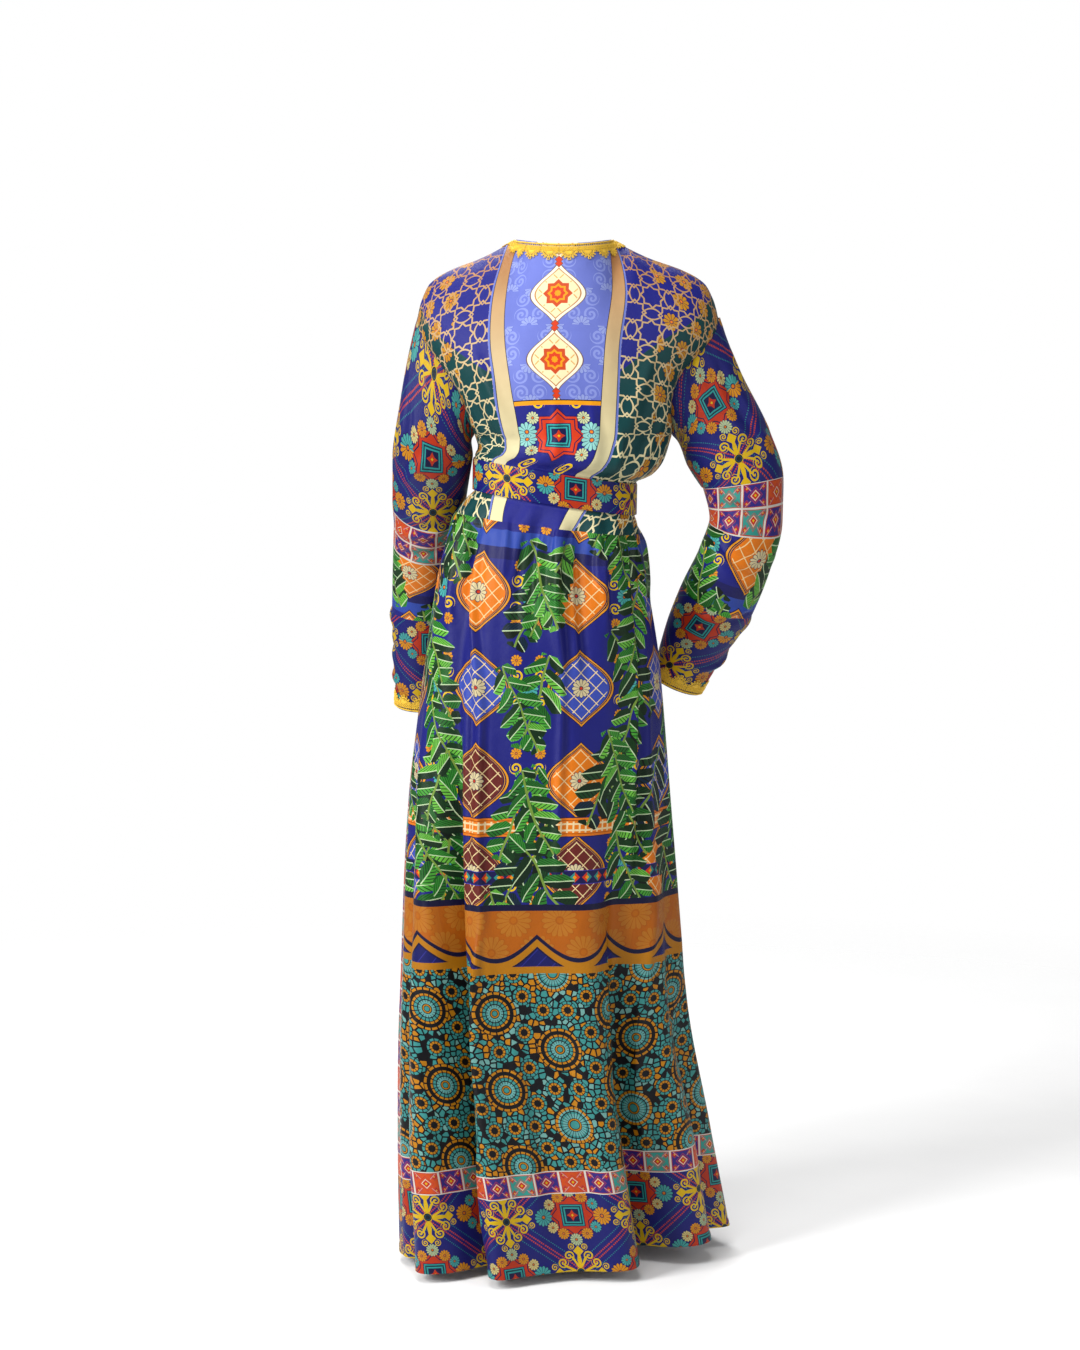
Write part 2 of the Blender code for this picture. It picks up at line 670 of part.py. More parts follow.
def belt_rows():
    """Rows of the sash: once round the waist and on past its own start, lapping outside it."""
    turn = 360 + BELT_LAP_ANGLE
    sweep = np.linspace(0, turn, DENSE)
    angle = FRONT_ANGLE - BELT_LAP_ANGLE / 2 + sweep
    reach, ease = BELT_OVER_FRONTS
    rows = []
    for drop in (BELT_BOTTOM, (BELT_BOTTOM + BELT_TOP) / 2, BELT_TOP):
        inner = ring(drop, angle, folded=False)
        ahead = np.gradient(inner, axis=0)
        out = np.stack([ahead[:, 1], -ahead[:, 0], np.zeros(len(inner))], axis=1)
        out /= np.linalg.norm(out, axis=1)[:, None]
        from_front = np.abs((angle - FRONT_ANGLE + 180) % 360 - 180)
        over_lap = LAP_RAISE * smooth((reach - from_front) / ease)
        lapping = smooth((sweep - turn + 2 * BELT_LAP_ANGLE) / (BELT_LAP_ANGLE * BELT_START_EASE))
        clear = BELT_CLEAR + over_lap + (BELT_WALL + BELT_CLEAR) * lapping
        rows.append(evenly(inner + out * clear[:, None], BELT_COLUMNS + 1))
    return np.array(rows)


def clear_scene():
    for thing in list(bpy.data.objects):
        bpy.data.objects.remove(thing)


def share_side_seams(back, fronts):
    """Gives the two sides of each side seam the same normals, so that their walls stay parallel."""
    below = len(skirt_drops()) + 1
    for side, edge in ((1, 0), (-1, -1)):
        shared = back[:below, edge] + fronts[side][:below, 0]
        shared /= np.linalg.norm(shared, axis=1)[:, None]
        back[:below, edge] = shared
        fronts[side][:below, 0] = shared


def level_shoulder(out):
    """Turns the top row's normals into the shoulder seam's plane."""
    out[-1, :, 1] = 0
    out[-1] /= np.linalg.norm(out[-1], axis=1)[:, None]


def main():
    clear_scene()
    parts = bpy.data.collections.new("belted_robe")
    bpy.context.scene.collection.children.link(parts)

    back = back_rows()
    fronts = {side: front_rows(side) for side in (1, -1)}
    spine = back.mean(axis=1, keepdims=True) * (1, 0, 1)
    back_out = normals(back, spine)
    fronts_out = {side: normals(fronts[side], spine) for side in fronts}
    share_side_seams(back_out, fronts_out)
    shoulder = (BACK_COLUMNS - NECK_COLUMNS) // 2
    for stretch in (back_out[:, :shoulder + 1], back_out[:, -shoulder - 1:], fronts_out[1], fronts_out[-1]):
        level_shoulder(stretch)
    cloth_object("back", back, back - back_out * WALL, "printed_satin", parts)
    for side, name in ((1, "left"), (-1, "right")):
        front = fronts[side]
        cloth_object(f"front_{name}", front, front - fronts_out[side] * WALL, "printed_satin", parts)
        sleeve = sleeve_rows(side)
        arm = sleeve.mean(axis=1, keepdims=True)
        sleeve_out = normals(sleeve, arm, closed=True)
        cloth_object(f"sleeve_{name}", sleeve, sleeve - sleeve_out * WALL, "printed_satin", parts,
                     closed=True)
        braid = cuff_braid_rows(sleeve)
        braid_out = normals(braid, arm[-1:], closed=True)
        cloth_object(f"cuff_braid_{name}", braid, braid + braid_out * BRAID_WALL, "yellow_braid", parts,
                     closed=True)

    ends = {side: neckline(fronts[side], BRAID_STOPS[side]) for side in fronts}
    stretches = [ends[1], neck_top()[1:-1], ends[-1][::-1]]
    trees = [
        surface_tree([back, fronts[1]]),
        surface_tree([back, fronts[1], fronts[-1]]),
        surface_tree([back, fronts[-1]]),
    ]
    braid, braid_out = braid_rows(stretches, trees)
    cloth_object("neck_braid", braid, braid + braid_out * BRAID_WALL, "yellow_braid", parts)
    sash = belt_rows()
    sash_out = normals(sash, sash.mean(axis=(0, 1)))
    cloth_object("belt", sash, sash + sash_out * BELT_WALL, "belt_satin", parts)


main()
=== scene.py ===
# %% [markdown]
# # A long printed satin robe, worn, seen from behind
#
# The robe is one body of cloth: a back, two wrapped fronts, two set-in sleeves, a sash, and crocheted
# braid at the neck and cuffs. Its solids are loaded as a fixed frame, and each is dressed with finer
# cloth here. The cloth keeps the solids' own sizes, so nothing has to be fitted.

# %% Load the solids
import math

import bmesh
import bpy
import numpy as np
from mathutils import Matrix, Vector
from mathutils.bvhtree import BVHTree


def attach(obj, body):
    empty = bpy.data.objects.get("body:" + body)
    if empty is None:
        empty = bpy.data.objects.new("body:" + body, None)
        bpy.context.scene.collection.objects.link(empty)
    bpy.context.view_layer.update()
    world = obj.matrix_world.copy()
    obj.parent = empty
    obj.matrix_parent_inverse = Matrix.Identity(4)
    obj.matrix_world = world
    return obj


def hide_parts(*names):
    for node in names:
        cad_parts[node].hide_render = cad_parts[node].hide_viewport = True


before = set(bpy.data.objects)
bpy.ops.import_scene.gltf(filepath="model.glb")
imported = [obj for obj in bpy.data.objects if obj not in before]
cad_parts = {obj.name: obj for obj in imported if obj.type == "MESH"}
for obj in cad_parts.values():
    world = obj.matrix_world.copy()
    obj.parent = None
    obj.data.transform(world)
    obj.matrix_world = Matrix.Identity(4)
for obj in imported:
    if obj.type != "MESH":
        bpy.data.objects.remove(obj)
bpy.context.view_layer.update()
print("solids:", sorted(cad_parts))

# %% [markdown]
# ## Camera, floor and light
#
# The photograph was taken from 4.4 m behind the robe, a little above its waist, with a long lens that
# looks slightly down. A studio sweep would stand in the way of a look from the front. A round sheet of
# pale paper that fades out into a white world gives the same even ground from every side, with no
# horizon. Large soft boxes at both sides and above keep the shadows faint, and the left one is stronger.

# %% Camera
CAMERA_PLACE = (0.034, 4.44, -0.09)
CAMERA_PITCH = math.radians(6.85)
CAMERA_LENS = 81.68
scene = bpy.context.scene
lens = bpy.data.cameras.new("camera")
lens.lens = CAMERA_LENS
lens.sensor_width = 36
camera = bpy.data.objects.new("camera", lens)
camera.location = CAMERA_PLACE
camera.rotation_euler = (math.pi / 2 - CAMERA_PITCH, 0, math.pi)
scene.collection.objects.link(camera)
scene.camera = camera
scene.view_settings.view_transform = "Standard"
print("camera lens", CAMERA_LENS, "mm")

# %% Colours and nodes
def linear(colour):
    """An sRGB hex colour as linear red, green, blue and alpha."""
    parts = [int(colour[i:i + 2], 16) / 255 for i in (1, 3, 5)]
    return [p / 12.92 if p <= 0.04045 else ((p + 0.055) / 1.055) ** 2.4 for p in parts] + [1.0]


def add(kind, *inputs, stops=None, **settings):
    """Adds a node to the finish being made, sets or links its inputs in order, and returns its output.

    A kind in capitals is an operation of the Math node. An input is a number, a hex colour or another
    node's output. stops are the places and colours of a stepped colour ramp, None for clear.
    """
    node = tree.nodes.new("ShaderNodeMath" if kind.isupper() else "ShaderNode" + kind)
    if kind.isupper():
        node.operation = kind
    for name, value in settings.items():
        setattr(node, name, value)
    if stops:
        steps = node.color_ramp.elements
        node.color_ramp.interpolation = "CONSTANT"
        while len(steps) < len(stops):
            steps.new(0.5)
        for step, (place, colour) in zip(steps, stops):
            step.position = place
            step.color = linear(colour) if colour else (0, 0, 0, 0)
    sockets = [socket for socket in node.inputs if socket.enabled]
    for socket, value in zip(sockets, inputs):
        if isinstance(value, bpy.types.NodeSocket):
            tree.links.new(value, socket)
        elif value is not None:
            socket.default_value = linear(value) if isinstance(value, str) else value
    return next(socket for socket in node.outputs if socket.enabled)


COLOUR = {"data_type": "RGBA"}

# %% Pieces, finishes and the floor
FLOOR = -1.49
PAPER_REACH, PAPER_FADE, PAPER_SIDES, PAPER_GRAIN = 2.6, 1.4, 96, 30.0
SIDES = ((1, "left"), (-1, "right"))


def new_piece(name, bm, *finishes):
    """A bmesh as a smooth named object with its finishes."""
    mesh = bpy.data.meshes.new(name)
    bm.to_mesh(mesh)
    bm.free()
    for finish in finishes:
        mesh.materials.append(finish)
    mesh.shade_smooth()
    piece = bpy.data.objects.new(name, mesh)
    scene.collection.objects.link(piece)
    return piece


def triangles(mesh):
    """How many triangles a mesh's faces make."""
    return sum(len(face.vertices) - 2 for face in mesh.polygons)


def start_finish(name, colour, roughness, **constants):
    """Starts a material: from here, add() adds to its tree, and shader is its surface."""
    global tree, shader
    finish = bpy.data.materials.new(name)
    finish.use_nodes = True
    tree = finish.node_tree
    shader = tree.nodes["Principled BSDF"]
    shader.inputs["Base Color"].default_value = linear(colour)
    shader.inputs["Roughness"].default_value = roughness
    for socket, value in constants.items():
        shader.inputs[socket.replace("_", " ")].default_value = value
    return finish


paper = start_finish("studio_paper", "#F4F4F4", 0.8)
grain = add("TexNoise", None, PAPER_GRAIN)
tree.links.new(add("Mix", grain, "#F2F2F2", "#F8F8F8", **COLOUR), shader.inputs["Base Color"])
parts = add("SeparateXYZ", add("TexCoord").node.outputs["Object"]).node.outputs
reach = add("VectorMath", add("CombineXYZ", parts[0], parts[1]), operation="LENGTH")
fade = add("MULTIPLY_ADD", reach, -1 / PAPER_FADE, PAPER_REACH / PAPER_FADE, use_clamp=True)
tree.links.new(fade, shader.inputs["Alpha"])
bm = bmesh.new()
bmesh.ops.create_circle(bm, cap_ends=True, segments=PAPER_SIDES, radius=PAPER_REACH)
bmesh.ops.translate(bm, verts=bm.verts, vec=(0, 0, FLOOR))
floor = new_piece("studio_floor", bm, paper)
print("floor at", FLOOR)

# %% Light
AMBIENT = 0.3
world = scene.world or bpy.data.worlds.new("studio")
scene.world = world
world.use_nodes = True
world.node_tree.nodes["Background"].inputs["Color"].default_value = linear("#FFFFFF")
tree = world.node_tree
seen = add("LightPath").node.outputs["Is Camera Ray"]
tree.links.new(add("MULTIPLY_ADD", seen, 1 - AMBIENT, AMBIENT), tree.nodes["Background"].inputs["Strength"])

# name, place, what it looks at, width, height, watts
SOFT_BOXES = (
    ("left_box", (3.0, 2.2, 1.1), (0, 0, -0.6), 1.4, 2.2, 205),
    ("right_box", (-2.8, 2.6, 0.3), (0, 0, -0.7), 0.8, 2.0, 30),
    ("top_box", (0.4, 1.8, 2.4), (0, 0, -0.5), 1.6, 1.2, 56),
    ("front_box", (0.5, -2.4, 2.6), (0, 0, -0.6), 2.0, 1.6, 100),
)
for name, place, target, width, height, watts in SOFT_BOXES:
    light = bpy.data.lights.new(name, "AREA")
    light.shape = "RECTANGLE"
    light.size = width
    light.size_y = height
    light.energy = watts
    box = bpy.data.objects.new(name, light)
    box.location = place
    box.rotation_euler = (Vector(target) - Vector(place)).to_track_quat("-Z", "Y").to_euler()
    scene.collection.objects.link(box)
print(len(SOFT_BOXES), "soft boxes")

# %% [markdown]
# ## The worn form, repeated from the solids
#
# Cloth on a body hangs from the shoulders, is drawn in by the sash and swings out to the hem. The solids
# describe that with level sections and a table of folds, and the same numbers are used here with many
# more rows and columns, so that the fine cloth lies where the solids are. Heights are drops below the
# nape, and angles run from the left side seam (0) over the back (90) to the right side seam (180).

# %% Sections of the body
HEM_DROP = 1.475
ARMHOLE_DROP = 0.275
BELT_TOP, BELT_BOTTOM = 0.3245, 0.3695
NECK_HALF, NECK_BACK, NECK_RISE, NECK_CURVE, NECK_EASE = 0.068, 0.062, 0.006, 0.9, 0.035
SHOULDER_Y, SHOULDER_SWING, SHOULDER_ROUNDING, NECK_ROUNDING = -0.005, -0.006, 2.6, 4.0
ARMHOLE_DEPTH, ARMHOLE_ROUND, YOKE_DRAW_IN = 0.055, 0.5, 4
SECTION_POWER = 2.25
SEAM_GAP, ARMHOLE_GAP = 0.0006, 0.0008
LAP_RAISE, LAP_RISE_WIDTH, LAP_RISE_AHEAD, LAP_FADES = 0.0042, 0.035, 0.055, (0.12, 0.22)
FRONT_ANGLE, FRONT_SWEEP, DENSE = 270, 150, 900

# drop, middle, half width, back, front, turn, tilt, gather
BODY_SECTIONS = np.array((
    (0.2750, -0.014, 0.1420, 0.112, 0.128, 0, 0.00, 0.0),
    (0.2980, -0.010, 0.1340, 0.112, 0.130, 0, 0.09, 0.3),
    (0.3120, -0.002, 0.1260, 0.107, 0.122, 0, 0.14, 0.4),
    (0.3180, 0.007, 0.1200, 0.099, 0.106, 0, 0.16, 0.2),
    (0.3225, 0.012, 0.1165, 0.094, 0.098, 0, 0.16, 0.0),
    (0.3715, 0.013, 0.1165, 0.094, 0.098, 0, 0.16, 0.0),
    (0.3780, 0.016, 0.1210, 0.099, 0.103, 0, 0.15, 0.5),
    (0.4170, 0.028, 0.1420, 0.121, 0.120, 0, 0.11, 1.0),
    (0.5020, 0.034, 0.1600, 0.138, 0.130, 1, 0.04, 0.7),
    (0.6130, 0.035, 0.1740, 0.143, 0.138, 3, 0.01, 0.3),
    (0.8680, 0.038, 0.1930, 0.146, 0.152, 7, 0.00, 0.0),
    (1.1070, 0.036, 0.2060, 0.149, 0.166, 11, 0.00, 0.0),
    (1.3200, 0.020, 0.2270, 0.152, 0.180, 14, 0.00, 0.0),
    (1.4750, 0.004, 0.2420, 0.154, 0.190, 16, 0.00, 0.0),
))
# angle at the waist and at the hem, how far out, width, lean, and the drops where it starts, is deepest, ends
NEVER = 9
SKIRT_FOLDS = (
    (14, 12, -0.030, 6, 0.000, 0.60, 1.40, NEVER), (30, 27, 0.024, 9, 0.000, 0.42, 1.40, NEVER),
    (44, 47, -0.056, 6, 0.020, 0.38, 1.30, NEVER), (58, 60, 0.020, 8, 0.000, 0.42, 1.30, NEVER),
    (84, 86, -0.010, 9, 0.000, 0.80, 1.40, NEVER), (104, 100, 0.026, 11, 0.000, 0.60, 1.40, NEVER),
    (120, 116, -0.070, 8, -0.014, 0.72, 1.45, NEVER), (140, 137, 0.014, 9, 0.000, 0.45, 1.40, NEVER),
    (152, 153, -0.020, 7, 0.000, 0.85, 1.40, NEVER), (168, 168, 0.016, 8, 0.000, 0.40, 1.30, NEVER),
    (200, 199, -0.030, 8, 0.000, 0.50, 1.40, NEVER), (218, 216, 0.026, 10, 0.000, 0.55, 1.40, NEVER),
    (234, 230, -0.024, 8, 0.000, 0.48, 1.40, NEVER), (300, 302, -0.024, 8, 0.000, 0.70, 1.40, NEVER),
    (318, 320, 0.022, 10, 0.000, 0.75, 1.40, NEVER), (340, 340, -0.030, 7, 0.000, 0.75, 1.40, NEVER),
    (46, 46, -0.012, 6, 0.004, 0.372, 0.44, 0.70), (70, 72, 0.006, 7, 0.000, 0.372, 0.43, 0.62),
    (84, 83, -0.009, 5, 0.003, 0.372, 0.42, 0.60), (96, 94, 0.006, 5, 0.000, 0.372, 0.42, 0.58),
    (107, 103, -0.010, 6, -0.003, 0.372, 0.44, 0.72), (128, 126, 0.007, 8, 0.000, 0.372, 0.43, 0.60),
    (150, 148, -0.007, 6, 0.000, 0.372, 0.42, 0.56), (170, 170, -0.009, 6, 0.000, 0.372, 0.42, 0.60),
    (190, 190, 0.006, 7, 0.000, 0.372, 0.42, 0.58), (212, 212, -0.009, 7, 0.000, 0.372, 0.43, 0.64),
    (232, 231, 0.006, 7, 0.000, 0.372, 0.42, 0.56), (304, 304, 0.006, 7, 0.000, 0.372, 0.42, 0.56),
    (20, 20, -0.006, 6, 0.000, 0.372, 0.42, 0.60), (330, 330, -0.050, 27, 0.000, 0.362, 0.455, 0.80),
)
GATHER_DEPTH, GATHERS, FLAT_LAP_WIDTH = 0.0020, ((19, 0.4, 1.0), (27, 1.9, 0.5)), 26
HEM_LIFT = (150, 42, 0.020, 0.9)
# rise, middle, half width, back, front
YOKE_SECTIONS = np.array((
    (0.00, -0.014, 0.142, 0.112, 0.128),
    (0.30, -0.005, 0.149, 0.117, 0.126),
    (0.55, 0.000, 0.165, 0.112, 0.112),
    (0.80, -0.004, 0.195, 0.100, 0.088),
    (1.00, -0.006, 0.216, 0.088, 0.070),
))
SHOULDER_LINE = np.array((
    (0.068, -0.006), (0.120, 0.020), (0.168, 0.038), (0.197, 0.056), (0.210, 0.080), (0.217, 0.105)))
FRONT_EDGE = np.array((
    (-0.006, -0.068), (0.100, -0.045), (0.200, -0.020), (0.275, 0.000), (0.330, 0.016),
    (0.500, 0.040), (1.475, 0.060)))


def through(at, knots, values):
    """A smooth curve through a table's rows that never overshoots them."""
    step = np.diff(knots)
    slope = np.diff(values) / step
    both = slope[:-1] * slope[1:]
    total = slope[:-1] + slope[1:]
    middle = np.where(both > 0, 2 * both / np.where(total == 0, 1, total), 0)
    ends = np.concatenate([slope[:1], middle, slope[-1:]])
    i = np.clip(np.searchsorted(knots, at) - 1, 0, len(step) - 1)
    t = np.clip((at - knots[i]) / step[i], 0, 1)
    rising = t * t * (3 - 2 * t)
    bend = step[i] * t * (1 - t) * ((1 - t) * ends[i] - t * ends[i + 1])
    return values[i] * (1 - rising) + values[i + 1] * rising + bend


def columns_at(table, at, columns):
    """A table's smooth values at a place in its first column."""
    return [float(through(at, table[:, 0], table[:, k])) for k in columns]


def smooth(t):
    """Rises from 0 to 1 with level ends."""
    t = np.clip(t, 0, 1)
    return t * t * (3 - 2 * t)


def bell(t):
    """1 at the middle, falling away smoothly on both sides."""
    return np.exp(-(t**2))


def from_angle(angle, centre):
    """Degrees from a centre, the short way round."""
    return (angle - centre + 180) % 360 - 180


def bump(angle, centre, width):
    """A bell round an angle."""
    return bell(from_angle(angle, centre) / width)


def fold_offsets(drop, angle):
    """How far the folds and gathers push the cloth out, and along the section."""
    out, along = np.zeros_like(angle), np.zeros_like(angle)
    down = (drop - BELT_BOTTOM) / (HEM_DROP - BELT_BOTTOM)
    for waist_angle, hem_angle, depth, width, lean, starts, deepest, ends in SKIRT_FOLDS:
        grown = smooth((drop - starts) / (deepest - starts)) * smooth((ends - drop) / (ends - deepest))
        shape = grown * bump(angle, waist_angle + (hem_angle - waist_angle) * down, width)
        out += depth * shape
        along += lean * shape
    gather = through(drop, BODY_SECTIONS[:, 0], BODY_SECTIONS[:, 7])
    flat_lap = 1 - bump(angle, FRONT_ANGLE, FLAT_LAP_WIDTH)
    for waves, phase, share in GATHERS:
        out += GATHER_DEPTH * gather * share * flat_lap * np.sin(waves * np.radians(angle) + phase)
    return out, along


def ring(drop, angle, folded=True):
    """Points of the body's level section at these angles, in degrees."""
    mid, half, back, front, turn, tilt = columns_at(BODY_SECTIONS, drop, range(1, 7))
    c, s = np.cos(np.radians(angle)), np.sin(np.radians(angle))
    depth = np.where(s >= 0, back, front)
    x = half * np.sign(c) * np.abs(c) ** (2 / SECTION_POWER)
    y = depth * np.sign(s) * np.abs(s) ** (2 / SECTION_POWER)
    nx, ny = c / half, s / depth
    length = np.hypot(nx, ny)
    if folded:
        out, along = fold_offsets(drop, angle)
        x = x + (nx * out - ny * along) / length
        y = y + (ny * out + nx * along) / length
    a = math.radians(turn)
    lift_angle, lift_width, lift, lift_from = HEM_LIFT
    raised = lift * bump(angle, lift_angle, lift_width) * smooth((drop - lift_from) / (HEM_DROP - lift_from))
    return np.stack([mid + x * math.cos(a) - y * math.sin(a), x * math.sin(a) + y * math.cos(a),
                     -drop + tilt * x + raised], axis=1)


def lengths(points):
    """Running length along a polyline."""
    return np.concatenate([[0], np.cumsum(np.linalg.norm(np.diff(points, axis=0), axis=1))])


def running(rows, axis):
    """Running length along every line of a grid, in one direction."""
    step = np.linalg.norm(np.diff(rows, axis=axis), axis=2)
    return np.concatenate([np.zeros_like(step.take([0], axis=axis)), np.cumsum(step, axis=axis)], axis=axis)


def unit(vectors):
    """Vectors at length 1."""
    return vectors / np.linalg.norm(vectors, axis=-1)[..., None]


def along(points, at):
    """Points of a polyline at running lengths."""
    run = lengths(points)
    return np.stack([np.interp(at, run, points[:, k]) for k in range(3)], axis=1)


def evenly(points, shares, start_gap=0.0, end_gap=0.0):
    """Points at shares of a polyline's length, stopping short of each end by a gap."""
    shares = np.linspace(0, 1, shares) if np.isscalar(shares) else shares
    return along(points, start_gap + shares * (lengths(points)[-1] - start_gap - end_gap))


def front_reach(drop):
    """How far past the centre line a front's edge lies."""
    return through(drop, FRONT_EDGE[:, 0], FRONT_EDGE[:, 1])


def up_to(points, side, reach):
    """The part of a front's polyline that stops at its edge, reach past the centre line."""
    beyond = -side * points[:, 0] - reach
    k = int(np.argmax(beyond > 0)) if (beyond > 0).any() else len(points) - 1
    share = beyond[k - 1] / (beyond[k - 1] - beyond[k])
    return np.vstack([points[:k], points[k - 1] + (points[k] - points[k - 1]) * share])


def lap_raise(points, side, drop):
    """Lifts the right front clear of the left one that it laps over."""
    if side > 0:
        return points
    start = -front_reach(drop) - LAP_RISE_AHEAD
    top, full = LAP_FADES
    share = smooth((points[:, 0] - start) / LAP_RISE_WIDTH) * smooth((drop - top) / (full - top))
    return points - np.outer(share * LAP_RAISE, (0, 1, 0))


def shoulder_top(side):
    """The shoulder seam, from the armhole to the neck."""
    xs, drops = SHOULDER_LINE.T
    x = np.linspace(xs[-1], xs[0], 300)
    swung = SHOULDER_SWING * (x - xs[0]) / (xs[-1] - xs[0])
    return np.stack([side * x + swung, np.full_like(x, SHOULDER_Y), -through(x, xs, drops)], axis=1)


def neck_top():
    """The back neckline, from the left neck point to the right one."""
    across = np.cos(np.linspace(0, math.pi, 300))
    curve = np.sin(np.linspace(0, math.pi, 300)) ** NECK_CURVE
    return np.stack([NECK_HALF * across, SHOULDER_Y + (NECK_BACK - SHOULDER_Y) * curve,
                     NECK_RISE * across**2], axis=1)


def yoke_row(rise, back, side, top, shares, gaps):
    """A row of the yoke: the level section, drawn up to the top row and rounded over the shoulder."""
    mid, half, depth = columns_at(YOKE_SECTIONS, rise, (1, 2, 3 if back else 4))
    edge = ARMHOLE_DEPTH * math.sqrt(1 - (1 - min(rise / ARMHOLE_ROUND, 1)) ** 2)
    theta = np.linspace(0, math.pi, DENSE)
    c, s = np.cos(theta), np.sin(theta)
    x = mid + half * side * np.sign(c) * np.abs(c) ** (2 / SECTION_POWER)
    y = edge + (depth - edge) * s ** (2 / SECTION_POWER)
    section = np.stack([x, y if back else -y, np.zeros_like(x)], axis=1)
    if not back:
        drop = ARMHOLE_DROP - (NECK_RISE + ARMHOLE_DROP) * rise
        section = up_to(section, side, float(front_reach(drop)))
    level = evenly(section, shares, *gaps)
    over_shoulder = math.sqrt(max(0.0, 1 - rise**SHOULDER_ROUNDING))
    by_neck = smooth((NECK_HALF + NECK_EASE - np.abs(top[:, 0])) / NECK_EASE) if back else 0
    rounding = over_shoulder + (1 - rise**NECK_ROUNDING - over_shoulder) * by_neck
    points = level.copy()
    points[:, 0] += (top[:, 0] - level[:, 0]) * rise**YOKE_DRAW_IN
    points[:, 1] = top[:, 1] + (level[:, 1] - top[:, 1]) * rounding
    points[:, 2] = -ARMHOLE_DROP + (top[:, 2] + ARMHOLE_DROP) * rise
    return points


print("waist half width", BODY_SECTIONS[4, 2], "hem half width", BODY_SECTIONS[-1, 2])

# %% [markdown]
# ## The cloth itself
#
# Each panel is a grid of fine quads laid on rows of points, then extruded through its thickness, so
# that it has a right side, a wrong side and a real edge. A cloth simulation could make the folds, but
# they would fall anywhere; here the folds stand where the robe shows them, so they are placed one by one.
# Every point also keeps its place on the flat cloth, in metres, as a UV. The print then lies on the
# cloth as it does on a printed roll: it bends with each fold and breaks at each seam.
#
# The cloth is printed in bands from hem to shoulder. A table gives each band its drop, and the rows of
# quads fall exactly on the lines between bands.

# %% Rows and columns of the fine cloth
CLOTH = 0.0008
HEM_TURNED = 0.0006
HEM_DEPTH = 0.012
# finish, from, to, in metres below the nape
BANDS = (
    ("yoke", -1.0, 0.205), ("waist", 0.205, 0.400), ("leaves", 0.400, 0.935), ("sunset", 0.935, 1.035),
    ("mosaic", 1.035, 1.326), ("tiles", 1.326, 1.360), ("garden", 1.360, 2.0),
)
# from, to, metres between rows
ROW_STEPS = (
    (1.475, 1.463, 0.003), (1.463, 1.360, 0.008), (1.360, 1.326, 0.0068), (1.326, 1.035, 0.008),
    (1.035, 0.935, 0.008), (0.935, 0.460, 0.008), (0.460, 0.400, 0.0045), (0.400, 0.205, 0.0035),
)
drops = [HEM_DROP]
for start, end, step in ROW_STEPS:
    drops += list(np.linspace(start, end, int(round((start - end) / step)) + 1))[1:]
BODY_DROPS = np.array([drop for drop in drops if drop > ARMHOLE_DROP + 0.002])
YOKE_ROWS, BACK_COLUMNS, FRONT_COLUMNS = 62, 176, 96
YOKE_RISES = np.sin(np.linspace(0, math.pi / 2, YOKE_ROWS))
# the columns beside a seam, as shares of a row, and where the neck lies among the back's columns
SEAM_STEPS, NECK_SHARES = (0.0035, 0.008), (13 / 38, 25 / 38)


def column_shares(count):
    """Shares of a row: even, with closer columns beside each edge for the seam."""
    near = np.array(SEAM_STEPS) / count
    return np.concatenate([[0], near, np.linspace(0, 1, count)[1:-1], 1 - near[::-1], [1]])


BACK_SHARES = column_shares(BACK_COLUMNS)
FRONT_SHARES = column_shares(FRONT_COLUMNS)
print(len(BODY_DROPS) + len(YOKE_RISES), "rows,", len(BACK_SHARES), "columns on the back")

# %% Rows of the back and the fronts
def back_rows():
    """Rows of the back, hem to shoulder, each from the left edge to the right one."""
    gaps = (SEAM_GAP / 2, SEAM_GAP / 2)
    angle = np.linspace(0, 180, DENSE)
    rows = [evenly(ring(drop, angle), BACK_SHARES, *gaps) for drop in BODY_DROPS]
    # The back's top row: a shoulder seam, the neckline and the other shoulder seam, as in the solid.
    outline = np.vstack([shoulder_top(1)[:-1], neck_top(), shoulder_top(-1)[::-1][1:]])
    shoulder = np.linalg.norm(np.diff(shoulder_top(1), axis=0), axis=1).sum()
    neck = np.linalg.norm(np.diff(neck_top(), axis=0), axis=1).sum()
    runs = [0, shoulder, shoulder + neck, lengths(outline)[-1]]
    top = along(outline, np.interp(BACK_SHARES, [0, *NECK_SHARES, 1], runs))
    on_shoulder = (BACK_SHARES <= NECK_SHARES[0]) | (BACK_SHARES >= NECK_SHARES[1])
    for rise in YOKE_RISES:
        row = yoke_row(rise, True, 1, top, BACK_SHARES, gaps)
        if rise == 1:
            row[on_shoulder, 1] += SEAM_GAP / 2
        rows.append(row)
    return np.array(rows)


def front_rows(side):
    """Rows of one front, hem to shoulder, each from the side seam to the front edge."""
    gaps = (SEAM_GAP / 2, 0.0)
    sweep = np.linspace(0, -FRONT_SWEEP, DENSE)
    angle = sweep if side > 0 else 180 - sweep
    rows = []
    for drop in BODY_DROPS:
        points = up_to(ring(drop, angle), side, float(front_reach(drop)))
        rows.append(lap_raise(evenly(points, FRONT_SHARES, *gaps), side, drop))
    top = evenly(shoulder_top(side), FRONT_SHARES)
    for rise in YOKE_RISES:
        row = yoke_row(rise, False, side, top, FRONT_SHARES, gaps)
        if rise == 1:
            row[:, 1] -= SEAM_GAP / 2
        drop = ARMHOLE_DROP - (ARMHOLE_DROP + NECK_RISE) * rise
        rows.append(lap_raise(row, side, drop))
    return np.array(rows)


back = back_rows()
fronts = {side: front_rows(side) for side in (1, -1)}
print("back", back.shape, "fronts", fronts[1].shape)

